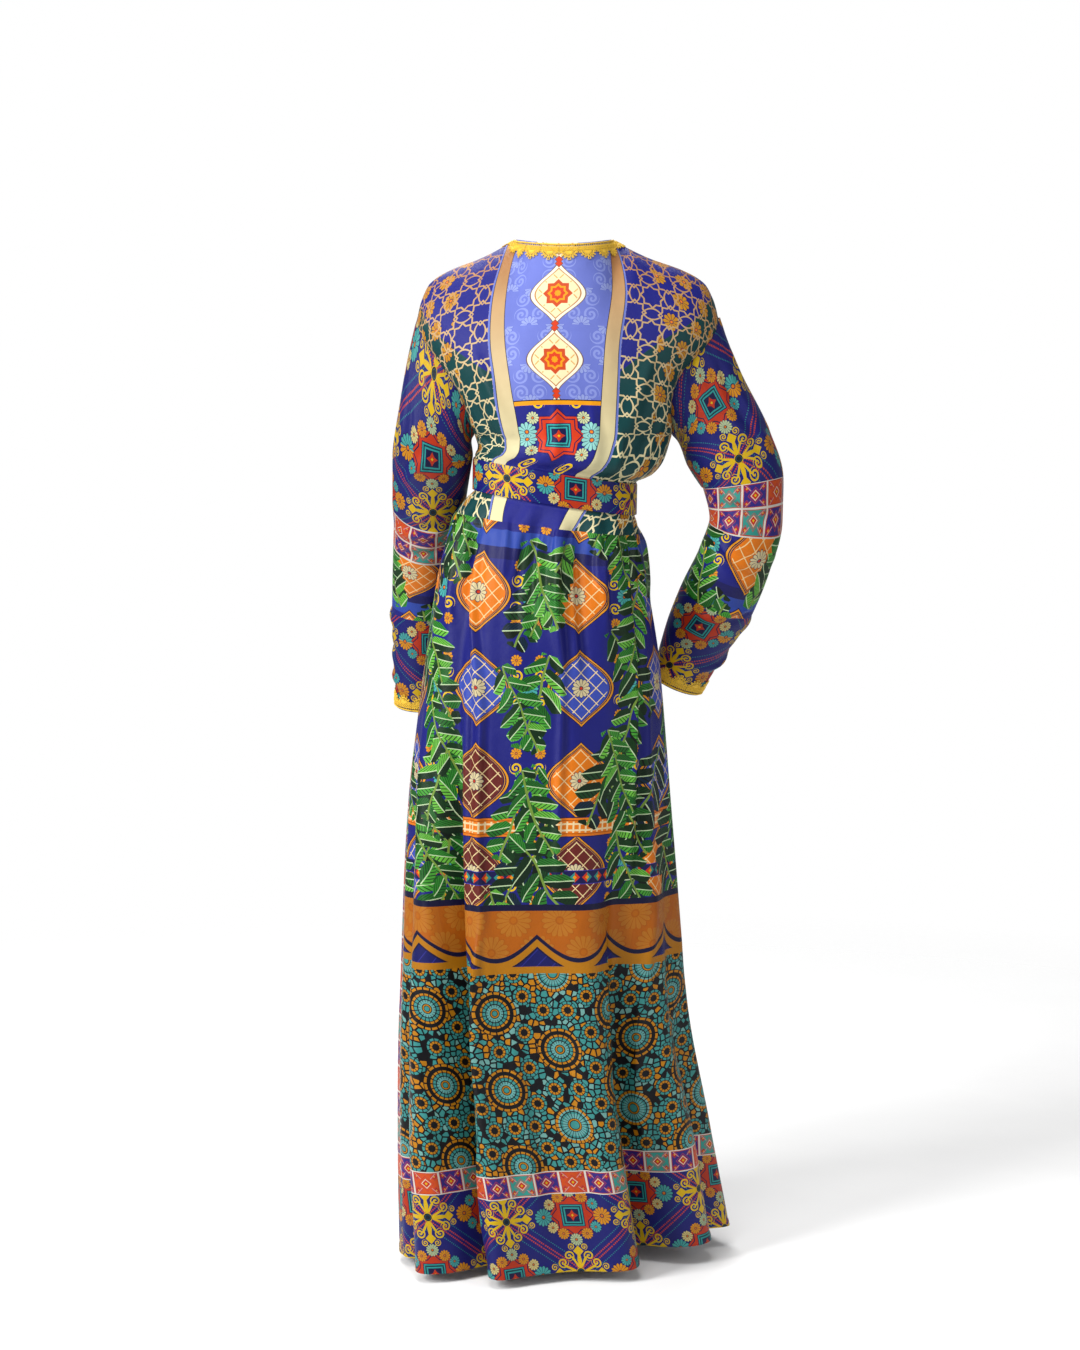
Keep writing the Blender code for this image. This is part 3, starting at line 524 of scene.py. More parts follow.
# %% Which way is out
def outward(rows, middle, closed=False):
    """Unit normals at a grid's points, pointing away from the piece's middle line."""
    if closed:
        across = np.gradient(np.concatenate([rows[:, -2:-1], rows, rows[:, 1:2]], axis=1), axis=1)[:, 1:-1]
    else:
        across = np.gradient(rows, axis=1)
    out = unit(np.cross(across, np.gradient(rows, axis=0)))
    return out * np.sign(np.sum(out * (rows - middle), axis=2).sum())


spine = back.mean(axis=1, keepdims=True) * (1, 0, 1)
back_out = outward(back, spine)
fronts_out = {side: outward(fronts[side], spine) for side in fronts}
for side, edge in ((1, 0), (-1, -1)):
    below = len(BODY_DROPS) + 1
    shared = unit(back_out[:below, edge] + fronts_out[side][:below, 0])
    back_out[:below, edge] = shared
    fronts_out[side][:below, 0] = shared

# %% [markdown]
# ## Places on the flat cloth
#
# A panel's own measure runs across it in metres from its middle or its edge, and down it from the nape.
# In the skirt a row's drop is its measure. Above the armholes it is the length along each column, so the
# print keeps its scale where the cloth bends over the shoulder.

# %% Flat places
def flat_places(rows, centre_share):
    """Across and down on the flat cloth, in metres, for each point of a panel."""
    first_yoke_row = len(BODY_DROPS)
    across = running(rows, 1)
    across -= np.array([np.interp(centre_share, np.linspace(0, 1, row.size), row) for row in across])[:, None]
    down = np.zeros(rows.shape[:2])
    down[:first_yoke_row] = BODY_DROPS[:, None]
    down[first_yoke_row:] = ARMHOLE_DROP - running(rows[first_yoke_row:], 0)
    return across, down


back_flat = flat_places(back, 0.5)
fronts_flat = {side: flat_places(fronts[side], 0.0) for side in fronts}
print("hem across the back", round(float(np.ptp(back_flat[0][0])), 3), "m")

# %% [markdown]
# ## Creases
#
# Beside the large folds, worn satin has soft drag lines from where it is held: below the sash, from the
# underarms and over the blousing. Sculpting would give them, but not the same each time. Each is a row
# of a table here: a line on the flat cloth, its width and its height, faded out at both ends.

# %% Creases laid one by one
# a crease's fade and bow as shares of its length, its width at one end and its growth to the other, and
# the hollow beside it as a share of its height, so many widths away
CREASE_FADE, CREASE_BOW, CREASE_NARROW, CREASE_GROWTH = 0.3, 0.015, 0.7, 0.5
HOLLOW_SHARE, HOLLOW_AWAY = 0.4, 1.9
# the hem's edge and stitches, how a seam draws the cloth in, and the tiny waves beside it
HEM_STEP, STITCH_DEPTH = 0.002, 0.0005
SEAM_DIP, SEAM_REACH, CAP_SEAM_REACH = 0.0008, 0.006, 0.005
PUCKER, PUCKER_PITCH, PUCKER_REACH = 0.0006, 0.017, 0.004


def crease_lift(flat, creases):
    """How far each point of a panel stands out for its creases."""
    across, down = flat
    lift = np.zeros_like(across)
    for x0, y0, x1, y1, width, height in creases:
        run = math.hypot(x1 - x0, y1 - y0)
        ux, uy = (x1 - x0) / run, (y1 - y0) / run
        t = ((across - x0) * ux + (down - y0) * uy) / run
        bow = CREASE_BOW * run * np.sin(math.pi * np.clip(t, 0, 1))
        away = (across - x0) * uy - (down - y0) * ux + bow
        fade = smooth(t / CREASE_FADE) * smooth((1 - t) / CREASE_FADE)
        wide = width * (CREASE_NARROW + CREASE_GROWTH * np.clip(t, 0, 1))
        hollow = HOLLOW_SHARE * bell((away - HOLLOW_AWAY * wide) / wide)
        lift += height * fade * (bell(away / wide) - hollow)
    return lift


# across and down at one end, across and down at the other, width, height
BACK_CREASES = (
    # the long fold left of the middle: its edge, and the hollow beside it
    (-0.104, 0.400, -0.086, 0.700, 0.006, 0.0045), (-0.119, 0.405, -0.101, 0.720, 0.008, -0.0060),
    (-0.088, 0.620, -0.076, 1.000, 0.006, 0.0050), (-0.103, 0.600, -0.091, 1.020, 0.009, -0.0070),
    (-0.077, 0.930, -0.120, 1.310, 0.007, 0.0050), (-0.093, 0.950, -0.138, 1.330, 0.010, -0.0070),
    (-0.112, 1.220, -0.180, 1.475, 0.008, 0.0045),
    # pleats drawn in under the sash
    (-0.160, 0.392, -0.150, 0.560, 0.006, 0.0040), (-0.128, 0.392, -0.120, 0.480, 0.005, -0.0035),
    (-0.062, 0.390, -0.058, 0.480, 0.005, 0.0040), (-0.034, 0.390, -0.034, 0.570, 0.006, -0.0045),
    (-0.006, 0.390, -0.004, 0.510, 0.005, 0.0050), (0.008, 0.390, 0.010, 0.460, 0.004, -0.0045),
    (0.023, 0.390, 0.026, 0.610, 0.006, 0.0055), (0.036, 0.390, 0.038, 0.490, 0.004, -0.0050),
    (0.049, 0.390, 0.053, 0.640, 0.006, 0.0050), (0.078, 0.390, 0.080, 0.490, 0.005, -0.0040),
    (0.101, 0.390, 0.098, 0.570, 0.006, 0.0045), (0.150, 0.392, 0.142, 0.530, 0.006, 0.0050),
    (0.163, 0.392, 0.161, 0.600, 0.006, -0.0050), (0.190, 0.392, 0.190, 0.510, 0.005, 0.0040),
    # blousing over the sash, and drag lines to the underarms
    (-0.140, 0.120, -0.075, 0.300, 0.010, 0.0040), (0.140, 0.130, 0.060, 0.300, 0.010, 0.0035),
    (-0.150, 0.190, -0.100, 0.318, 0.008, -0.0035), (0.150, 0.200, 0.090, 0.318, 0.008, -0.0035),
    (-0.022, 0.215, -0.020, 0.322, 0.007, 0.0025), (0.030, 0.215, 0.036, 0.322, 0.008, 0.0028),
    (-0.052, 0.240, -0.050, 0.322, 0.006, -0.0022), (0.068, 0.250, 0.072, 0.322, 0.006, 0.0025),
    (-0.165, 0.270, -0.110, 0.322, 0.006, 0.0030), (0.168, 0.265, 0.118, 0.322, 0.006, 0.0030),
    # long soft folds down the skirt
    (0.031, 0.500, 0.034, 0.960, 0.006, 0.0040), (0.147, 0.520, 0.150, 0.960, 0.006, 0.0045),
    (0.161, 0.520, 0.166, 0.980, 0.009, -0.0060), (0.113, 0.960, 0.110, 1.220, 0.006, 0.0045),
    (0.126, 0.960, 0.128, 1.320, 0.009, -0.0065), (-0.036, 1.050, -0.062, 1.460, 0.012, 0.0045),
    (0.040, 1.080, 0.018, 1.460, 0.012, -0.0045), (0.198, 0.900, 0.215, 1.400, 0.010, 0.0050),
    (-0.200, 0.640, -0.215, 1.050, 0.012, 0.0045), (-0.255, 1.000, -0.300, 1.450, 0.012, 0.0050),
    (0.290, 1.000, 0.320, 1.450, 0.014, 0.0045), (-0.330, 1.050, -0.360, 1.450, 0.012, -0.0045),
)
FRONT_CREASES = (
    (0.030, 0.374, 0.034, 0.520, 0.006, 0.0035), (0.056, 0.374, 0.062, 0.470, 0.005, -0.0030),
    (0.086, 0.374, 0.096, 0.600, 0.007, 0.0040), (0.112, 0.374, 0.130, 0.500, 0.006, -0.0028),
    (0.040, 0.150, 0.090, 0.310, 0.010, 0.0030), (0.030, 0.230, 0.120, 0.318, 0.008, -0.0030),
    (0.140, 0.640, 0.180, 1.100, 0.014, 0.0045), (0.240, 0.900, 0.270, 1.400, 0.015, -0.0045),
    (0.340, 1.050, 0.360, 1.450, 0.015, 0.0045),
)


def hem_step(flat, hem):
    """The turned-up hem stands out a little, with a shallow groove along its stitches."""
    above = hem - flat[1]
    stitches = STITCH_DEPTH * bell((above - HEM_DEPTH) / HEM_STEP)
    return HEM_TURNED * smooth((HEM_DEPTH - above) / HEM_STEP) - stitches


def seam_pucker(flat, edge_distance):
    """The cloth dips to a seam and is drawn up in tiny waves beside it."""
    waves = PUCKER * np.sin(flat[1] * 2 * math.pi / PUCKER_PITCH) * np.exp(-(edge_distance / PUCKER_REACH))
    return bell(edge_distance / SEAM_REACH) * (-SEAM_DIP + waves)


def from_edge(rows, column):
    """Distance of each point from one edge column of its panel, along its row."""
    run = running(rows, 1)
    return np.abs(run - run[:, column:][:, :1])


lift = crease_lift(back_flat, BACK_CREASES) + hem_step(back_flat, HEM_DROP)
for column in (0, -1):
    lift += seam_pucker(back_flat, from_edge(back, column))
back = back + back_out * lift[..., None]
for side in fronts:
    flat = fronts_flat[side]
    lift = crease_lift(flat, FRONT_CREASES) + hem_step(flat, HEM_DROP)
    lift += seam_pucker(flat, from_edge(fronts[side], 0))
    fronts[side] = fronts[side] + fronts_out[side] * lift[..., None]
print("creases:", len(BACK_CREASES), "on the back,", len(FRONT_CREASES), "on each front")

# %% [markdown]
# ## Sleeves
#
# A set-in sleeve is a tube whose top is cut to the armhole. It could be bent with an armature, but a row
# of rings along the arm is simpler and exact: each ring has its own place, size and tilt, and the top
# rings run smoothly into the armhole's edge. The left arm is bent forward, the right one outwards.

# %% Rings of the sleeves
# drop, x, y, half width across, half depth fore and aft
SLEEVE_LEFT = np.array((
    (0.300, 0.188, -0.006, 0.0570, 0.056), (0.360, 0.194, -0.040, 0.0530, 0.052),
    (0.420, 0.200, -0.084, 0.0505, 0.050), (0.500, 0.207, -0.132, 0.0480, 0.048),
    (0.580, 0.212, -0.154, 0.0450, 0.047), (0.640, 0.215, -0.170, 0.0400, 0.042),
    (0.690, 0.216, -0.180, 0.0370, 0.038),
))
SLEEVE_RIGHT = np.array((
    (0.290, -0.238, -0.002, 0.0650, 0.058), (0.340, -0.260, 0.002, 0.0590, 0.056),
    (0.395, -0.265, 0.000, 0.0530, 0.054), (0.455, -0.250, -0.016, 0.0540, 0.054),
    (0.513, -0.227, -0.038, 0.0565, 0.052), (0.560, -0.205, -0.056, 0.0525, 0.048),
    (0.605, -0.185, -0.070, 0.0450, 0.042), (0.645, -0.169, -0.078, 0.0380, 0.038),
))
LEAVE_TOP, LEAVE_UNDER = np.array((0.25, 0, -0.97)), np.array((0.85, 0, -0.5))
SLEEVE_COLUMNS = 120
CAP_ROWS, ARM_ROWS = 44, 118


def armhole(side, count):
    """The armhole's edge as a closed loop: shoulder, back, underarm, front."""
    start = len(BODY_DROPS)
    back_edge = back[start:, 0 if side > 0 else -1]
    front_edge = fronts[side][start:, 0]
    return evenly(np.vstack([back_edge[::-1], front_edge[1:], back_edge[-1:]]), count + 1)[:-1]


def sleeve_rows(side):
    """Rings of a sleeve from the armhole to the cuff, each starting at the seam under the arm."""
    drop, x, y, wide, deep = (SLEEVE_LEFT if side > 0 else SLEEVE_RIGHT).T
    drops = np.linspace(drop[0], drop[-1], ARM_ROWS)
    centre = np.stack([through(drops, drop, x), through(drops, drop, y), -drops], axis=1)
    ahead = unit(np.gradient(centre, axis=0))
    across = np.cross((0, 1, 0), ahead)
    across *= (np.sign(across[:, 0]) * side / np.linalg.norm(across, axis=1))[:, None]
    rear = np.cross(ahead, across)
    rear *= np.sign(rear[:, 1])[:, None]
    phi = np.linspace(0, 2 * math.pi, SLEEVE_COLUMNS, endpoint=False)
    arm = (
        centre[:, None]
        + across[:, None] * (through(drops, drop, wide)[:, None] * np.cos(phi))[..., None]
        + rear[:, None] * (through(drops, drop, deep)[:, None] * np.sin(phi))[..., None]
    )
    start = armhole(side, SLEEVE_COLUMNS)
    start[:, 0] += side * ARMHOLE_GAP
    span = np.linalg.norm(arm[0] - start, axis=1)[:, None]
    top_share = ((1 + np.cos(phi)) / 2)[:, None]
    leave = (top_share * LEAVE_TOP + (1 - top_share) * LEAVE_UNDER) * (side, 1, 1)
    cap = [
        start * (2 * t**3 - 3 * t**2 + 1)
        + leave * span * (t**3 - 2 * t**2 + t)
        + arm[0] * (3 * t**2 - 2 * t**3)
        + ahead[0] * span * (t**3 - t**2)
        for t in np.linspace(0, 1, CAP_ROWS + 1)[:-1]
    ]
    rows = np.roll(np.concatenate([np.array(cap), arm]), SLEEVE_COLUMNS // 2, axis=1)
    return np.concatenate([rows, rows[:, :1]], axis=1)


def sleeve_flat(rows):
    """Across from the outer arm, and up from the cuff, in metres."""
    around = np.linalg.norm(np.diff(rows, axis=1), axis=2).sum(axis=1)
    share = np.linspace(-0.5, 0.5, rows.shape[1])
    step = np.linalg.norm(np.diff(rows, axis=0), axis=2).mean(axis=1)
    up = np.concatenate([np.cumsum(step[::-1])[::-1], [0]])
    return around[:, None] * share, np.repeat(up[:, None], rows.shape[1], axis=1)


# across from the outer arm and up from the cuff at each end, width, height
RIGHT_SLEEVE_CREASES = (
    (-0.130, 0.300, -0.020, 0.265, 0.008, -0.0060), (-0.140, 0.335, -0.030, 0.300, 0.008, 0.0055),
    (-0.120, 0.262, 0.010, 0.232, 0.008, 0.0050), (-0.135, 0.230, -0.030, 0.200, 0.007, -0.0045),
    (0.130, 0.320, 0.040, 0.270, 0.008, -0.0055), (0.140, 0.285, 0.030, 0.238, 0.008, 0.0050),
    (0.140, 0.245, 0.045, 0.205, 0.007, -0.0050), (-0.090, 0.170, 0.020, 0.120, 0.008, 0.0050),
    (-0.100, 0.130, 0.030, 0.075, 0.007, -0.0045), (-0.060, 0.085, 0.060, 0.040, 0.007, 0.0045),
    (0.020, 0.180, 0.110, 0.120, 0.007, 0.0040), (-0.110, 0.060, 0.000, 0.024, 0.006, 0.0035),
    (-0.060, 0.520, -0.050, 0.350, 0.010, 0.0040), (0.050, 0.500, 0.060, 0.340, 0.010, -0.0040),
    (0.100, 0.430, 0.020, 0.360, 0.010, 0.0040), (-0.120, 0.420, -0.030, 0.370, 0.009, -0.0035),
    (0.000, 0.560, 0.010, 0.440, 0.009, 0.0030), (0.090, 0.560, 0.120, 0.420, 0.008, -0.0030),
)
LEFT_SLEEVE_CREASES = (
    (-0.120, 0.330, -0.010, 0.300, 0.008, -0.0050), (-0.110, 0.290, 0.000, 0.262, 0.008, 0.0045),
    (-0.120, 0.262, -0.020, 0.230, 0.007, -0.0045), (0.120, 0.340, 0.020, 0.312, 0.008, 0.0045),
    (0.110, 0.300, 0.030, 0.270, 0.007, -0.0045), (-0.080, 0.170, 0.030, 0.130, 0.007, 0.0040),
    (-0.070, 0.120, 0.040, 0.080, 0.007, -0.0040), (-0.060, 0.060, 0.050, 0.034, 0.006, 0.0035),
    (-0.050, 0.540, -0.040, 0.380, 0.010, 0.0035), (0.050, 0.520, 0.040, 0.360, 0.010, -0.0035),
    (0.090, 0.460, 0.030, 0.390, 0.009, 0.0035), (0.000, 0.480, 0.010, 0.300, 0.009, 0.0030),
)
sleeves, sleeves_out, sleeves_flat = {}, {}, {}
for side, creases in ((1, LEFT_SLEEVE_CREASES), (-1, RIGHT_SLEEVE_CREASES)):
    rows = sleeve_rows(side)
    out = outward(rows, rows.mean(axis=1, keepdims=True), closed=True)
    flat = sleeve_flat(rows)
    lift = crease_lift(flat, creases)
    top = flat[1].max() - flat[1]
    lift -= SEAM_DIP * bell(top / CAP_SEAM_REACH)
    lift += HEM_TURNED * smooth((HEM_DEPTH - flat[1]) / HEM_STEP)
    sleeves[side], sleeves_out[side], sleeves_flat[side] = rows + out * lift[..., None], out, flat
print("sleeve lengths", [round(float(sleeves_flat[side][1].max()), 3) for side in (1, -1)])

# %% [markdown]
# ## Sash
#
# The sash is the same satin, stiffened to a firm flat band 45 mm wide. It goes once round and laps over
# its own start in front, where its ends would be hooked. From behind it only shows its face, which waves
# a little, with a rolled upper edge.

# %% Rows of the sash
BELT_WALL, BELT_CLEAR, BELT_LAP_ANGLE = 0.0020, 0.0007, 40
BELT_OVER_FRONTS, BELT_START_EASE = (75, 35), 0.8
BELT_ROWS, BELT_COLUMNS = 15, 420
# the face's height over the inner side, how far and how wide its upper edge rolls in, and its slow waves
BELT_FACE, BELT_ROLL, BELT_ROLL_WIDTH = 0.0019, 0.0009, 0.0012
BELT_WAVE, BELT_WAVE_PITCHES, BELT_WAVE_PHASE = 0.0004, (0.11, 0.067), 1.3


def belt_rows():
    """Rows of the sash's inner face, bottom to top, round the waist and on past its own start."""
    turn = 360 + BELT_LAP_ANGLE
    sweep = np.linspace(0, turn, DENSE * 2)
    angle = FRONT_ANGLE - BELT_LAP_ANGLE / 2 + sweep
    reach, ease = BELT_OVER_FRONTS
    rows = []
    for drop in np.linspace(BELT_BOTTOM, BELT_TOP, BELT_ROWS):
        inner = ring(drop, angle, folded=False)
        ahead = np.gradient(inner, axis=0)
        out = np.stack([ahead[:, 1], -ahead[:, 0], np.zeros(len(inner))], axis=1)
        out /= np.linalg.norm(out, axis=1)[:, None]
        from_front = np.abs(from_angle(angle, FRONT_ANGLE))
        over_lap = LAP_RAISE * smooth((reach - from_front) / ease)
        lapping = smooth((sweep - turn + 2 * BELT_LAP_ANGLE) / (BELT_LAP_ANGLE * BELT_START_EASE))
        clear = BELT_CLEAR + over_lap + (BELT_WALL + BELT_CLEAR) * lapping
        rows.append(evenly(inner + out * clear[:, None], BELT_COLUMNS))
    return np.array(rows)


belt = belt_rows()
belt_out = outward(belt, belt.mean(axis=(0, 1)))
run = lengths(belt[BELT_ROWS // 2])
belt_length = float(run[-1])
height = np.linspace(BELT_TOP - BELT_BOTTOM, 0, BELT_ROWS)
belt_flat = (np.repeat(run[None], BELT_ROWS, axis=0) - belt_length / 2,
             np.repeat(height[:, None], BELT_COLUMNS, axis=1))
one, other = (belt_flat[0] * 2 * math.pi / pitch for pitch in BELT_WAVE_PITCHES)
belt_face = BELT_FACE - BELT_ROLL * bell(belt_flat[1] / BELT_ROLL_WIDTH)
belt_face += BELT_WAVE * np.sin(one + BELT_WAVE_PHASE) * np.sin(other)
print("sash", round(belt_length, 3), "m long")

# %% [markdown]
# ## The printed satin
#
# The real cloth is polyester satin, digitally printed. Its print could be a picture, but then it would
# have one size and one sharpness. Here every motif is drawn by nodes from its place on the flat cloth in
# millimetres, so it is sharp from any distance and keeps its real size. Traditional motifs are built
# from a few ideas: folding the plane into a small repeat, a measure of distance that has the motif's
# outline, and a stepped colour ramp on that measure.

# %% Place, repeat and paint
INK, NAVY, ROYAL, YELLOW, GOLD = "#080812", "#121248", "#1A1E7C", "#F2C60C", "#EC9A0C"
ORANGE, RED, TURQUOISE, CREAM = "#EA7C0C", "#D23A14", "#4AB0AC", "#E0D0A0"


def on_cloth(right=0, down=0):
    """The place on the flat cloth in millimetres, moved by a given amount."""
    parts = add("SeparateXYZ", add("UVMap", uv_map="cloth")).node.outputs
    return add("MULTIPLY_ADD", parts[0], 1000.0, right), add("MULTIPLY_ADD", parts[1], 1000.0, down)


def paint(under, mask, colour):
    """Lays a colour over what is under it, where the mask is 1."""
    return add("Mix", mask, under, colour, **COLOUR)


def within(under, measure, limit, colour):
    """Paints where a measure is under a limit."""
    return paint(under, add("LESS_THAN", measure, limit), colour)


def off(value, centre):
    """How far a value is from a centre, on either side."""
    return add("ABSOLUTE", add("SUBTRACT", value, centre))


def folded(x, y):
    """The place folded to one quarter."""
    return add("ABSOLUTE", x), add("ABSOLUTE", y)


def eight_points(x, y):
    """A measure with the outline of an eight-pointed star, from a place folded to one quarter."""
    return add("MINIMUM", add("MAXIMUM", x, y), add("DIVIDE", add("ADD", x, y), math.sqrt(2)))


def slants(x, y, pitch):
    """Distance to the nearest line of a slanting lattice."""
    return add("MINIMUM", *(add("PINGPONG", add(way, x, y), pitch) for way in ("ADD", "SUBTRACT")))


def rings(under, measure, stops):
    """Paints a motif in steps of its measure, up to the last stop; None leaves what is under it."""
    reach = stops[-1][0]
    stops = [(at / reach, colour) for at, colour in stops]
    ramp = add("ValToRGB", add("DIVIDE", measure, reach), stops=stops)
    return paint(under, ramp.node.outputs[1], ramp)


def repeat(x, y, wide, high, shift=0.5):
    """The place within a repeat whose rows are shifted, and a chance value for each repeat."""
    row = add("FLOOR", add("DIVIDE", y, high))
    slid = add("MULTIPLY_ADD", add("FLOORED_MODULO", row, 2.0), shift * wide, x)
    column = add("FLOOR", add("DIVIDE", slid, wide))
    chance = add("TexWhiteNoise", add("CombineXYZ", column, row, 3.5))
    dx = add("SUBTRACT", slid, add("MULTIPLY_ADD", column, wide, wide / 2))
    dy = add("SUBTRACT", y, add("MULTIPLY_ADD", row, high, high / 2))
    return dx, dy, chance


def around(x, y, centre):
    """Distance and angle of each place from a centre."""
    dx, dy = add("SUBTRACT", x, centre[0]), add("SUBTRACT", y, centre[1])
    return add("VectorMath", add("CombineXYZ", dx, dy), operation="LENGTH"), add("ARCTAN2", dy, dx)


def both(*masks):
    """Where all the masks are 1."""
    whole = masks[0]
    for mask in masks[1:]:
        whole = add("MULTIPLY", whole, mask)
    return whole


def turned(x, y, degrees):
    """The place in a repeat turned by an angle."""
    cos, sin = math.cos(math.radians(degrees)), math.sin(math.radians(degrees))
    return (
        add("MULTIPLY_ADD", x, cos, add("MULTIPLY", y, sin)),
        add("MULTIPLY_ADD", y, cos, add("MULTIPLY", x, -sin)),
    )


# %% Flower, curl and star tile
def daisy(under, x, y, centre, size, petals, colour, core=ORANGE, line=NAVY):
    """A round flower with notched petals, dark lines between them and a core."""
    r, angle = around(x, y, centre)
    wave = add("ABSOLUTE", add("COSINE", add("MULTIPLY", angle, petals / 2)))
    outline = add("DIVIDE", r, add("MULTIPLY_ADD", wave, 0.24, 0.78))
    flower = add("DIVIDE", outline, size)
    under = within(under, flower, 1.08, line)
    under = within(under, flower, 1.0, colour)
    gap = both(add("LESS_THAN", wave, 0.26), add("LESS_THAN", flower, 1.0))
    under = paint(under, gap, line)
    under = within(under, flower, 0.26, line)
    return within(under, flower, 0.17, core)


def curl(under, x, y, centre, size, turn, colour, share=0.5, pitch=0.62):
    """A scroll: a spiral line of one width."""
    r, angle = around(x, y, centre)
    winding = add("MULTIPLY_ADD", angle, turn / (2 * math.pi), add("DIVIDE", r, size * pitch))
    line = both(add("LESS_THAN", add("FRACT", winding), share), add("LESS_THAN", r, size))
    return paint(under, line, colour)


def star_tile(under, x, y, size):
    """A square tile in a red star, from places that are already folded to one quarter."""
    long, short = add("MAXIMUM", x, y), add("MINIMUM", x, y)
    under = rings(under, eight_points(x, y), [
        (0, RED), (0.83 * size, NAVY), (0.89 * size, RED), (size, NAVY), (1.05 * size, None),
    ])
    under = rings(under, long, [
        (0, NAVY), (0.38 * size, "#2FA6A4"), (0.46 * size, "#123A48"), (0.54 * size, "#2FA6A4"),
        (0.61 * size, NAVY), (0.66 * size, None),
    ])
    flower = add("MULTIPLY_ADD", short, 1.7, long)
    return rings(under, flower, [(0, YELLOW), (0.09 * size, RED), (0.33 * size, None)])


# %% [markdown]
# ## Garden print
#
# The cloth beside the panels, at the hem, on the sleeves and on the sash is a lattice of palmettes,
# daisies and star tiles on royal blue. The repeat is 200 mm wide. Folding it in both directions and then
# across its diagonal leaves one small triangle, so each motif is drawn once and stands eight times.

# %% Garden print
def garden(x, y, ground):
    """The lattice of palmettes, daisies and star tiles over a ground."""
    wide, high = 100.0, 84.0
    swap = add("FLOORED_MODULO", add("ADD", add("FLOOR", add("DIVIDE", x, 2 * wide)),
                                     add("FLOOR", add("DIVIDE", y, 2 * high))), 2.0)
    px, py = add("PINGPONG", x, wide), add("PINGPONG", y, high)
    over = add("GREATER_THAN", add("MULTIPLY_ADD", py, wide / high, px), wide)
    px = add("ABSOLUTE", add("MULTIPLY_ADD", over, -wide, px))
    py = add("ABSOLUTE", add("MULTIPLY_ADD", over, -high, py))
    beside = add("GREATER_THAN", px, add("MULTIPLY", py, wide / high))
    below = add("SUBTRACT", 1.0, beside)
    # two rows of red dots along the diagonals, and a row of small teal dots beside each
    diagonal = 130.6
    track = add("MULTIPLY_ADD", px, high, add("MULTIPLY", py, -wide))
    track = add("ABSOLUTE", add("DIVIDE", track, diagonal))
    along = add("FRACT", add("DIVIDE", add("ADD", px, py), 4.6))
    line = add("LESS_THAN", off(track, 2.6), 1.0)
    shade = paint(ground, both(line, add("LESS_THAN", along, 0.62)), "#E04A1C")
    beads = both(add("LESS_THAN", off(track, 11.0), 0.8), add("LESS_THAN", along, 0.45))
    shade = paint(shade, beads, "#2C8C94")
    # star tiles at the other two corners of the repeat
    lx = add("ABSOLUTE", add("MULTIPLY_ADD", beside, -wide, px))
    ly = add("ABSOLUTE", add("MULTIPLY_ADD", below, -high, py))
    shade = star_tile(shade, lx, ly, 25.0)
    # daisies on the axes, and smaller ones beside them
    first = paint(add("Mix", swap, GOLD, TURQUOISE, **COLOUR), below, "#BFD0A0")
    second = paint(add("Mix", swap, TURQUOISE, "#E8D488", **COLOUR), below, GOLD)
    shade = daisy(shade, add("MULTIPLY_ADD", beside, -57.0, px), add("MULTIPLY_ADD", below, -48.0, py),
                  (0, 0), add("MULTIPLY_ADD", beside, 4.0, 9.0), 14, first)
    shade = daisy(shade, add("MULTIPLY_ADD", beside, -52.0, px), add("MULTIPLY_ADD", below, -40.0, py),
                  (17, 17), 8.2, 12, second)
    # the palmette: one leaf, folded four ways
    long, short = add("MAXIMUM", px, py), add("MINIMUM", px, py)
    shade = curl(shade, long, short, (24.0, 14.5), 7.6, 1.0, YELLOW)
    shade = curl(shade, long, short, (37.5, 9.0), 5.0, -1.0, YELLOW)
    shade = within(shade, add("MULTIPLY_ADD", off(long, 31.0), 0.95, short), 7.6, YELLOW)
    waist = add("MULTIPLY_ADD", off(long, 17.0), 0.14, short)
    stem = both(add("LESS_THAN", waist, 3.2), add("LESS_THAN", long, 30.0))
    shade = paint(shade, stem, YELLOW)
    lobe = add("ABSOLUTE", add("MULTIPLY_ADD", long, -0.55, add("ADD", short, 2.2)))
    lobe = both(add("LESS_THAN", lobe, 1.8), add("LESS_THAN", off(long, 15.0), 8.0))
    shade = paint(shade, lobe, YELLOW)
    heart, _ = around(px, py, (0.0, 0.0))
    return rings(shade, heart, [(0, "#0C1A2A"), (3.2, "#1C4A5C"), (4.4, INK), (5.6, YELLOW), (6.6, None)])


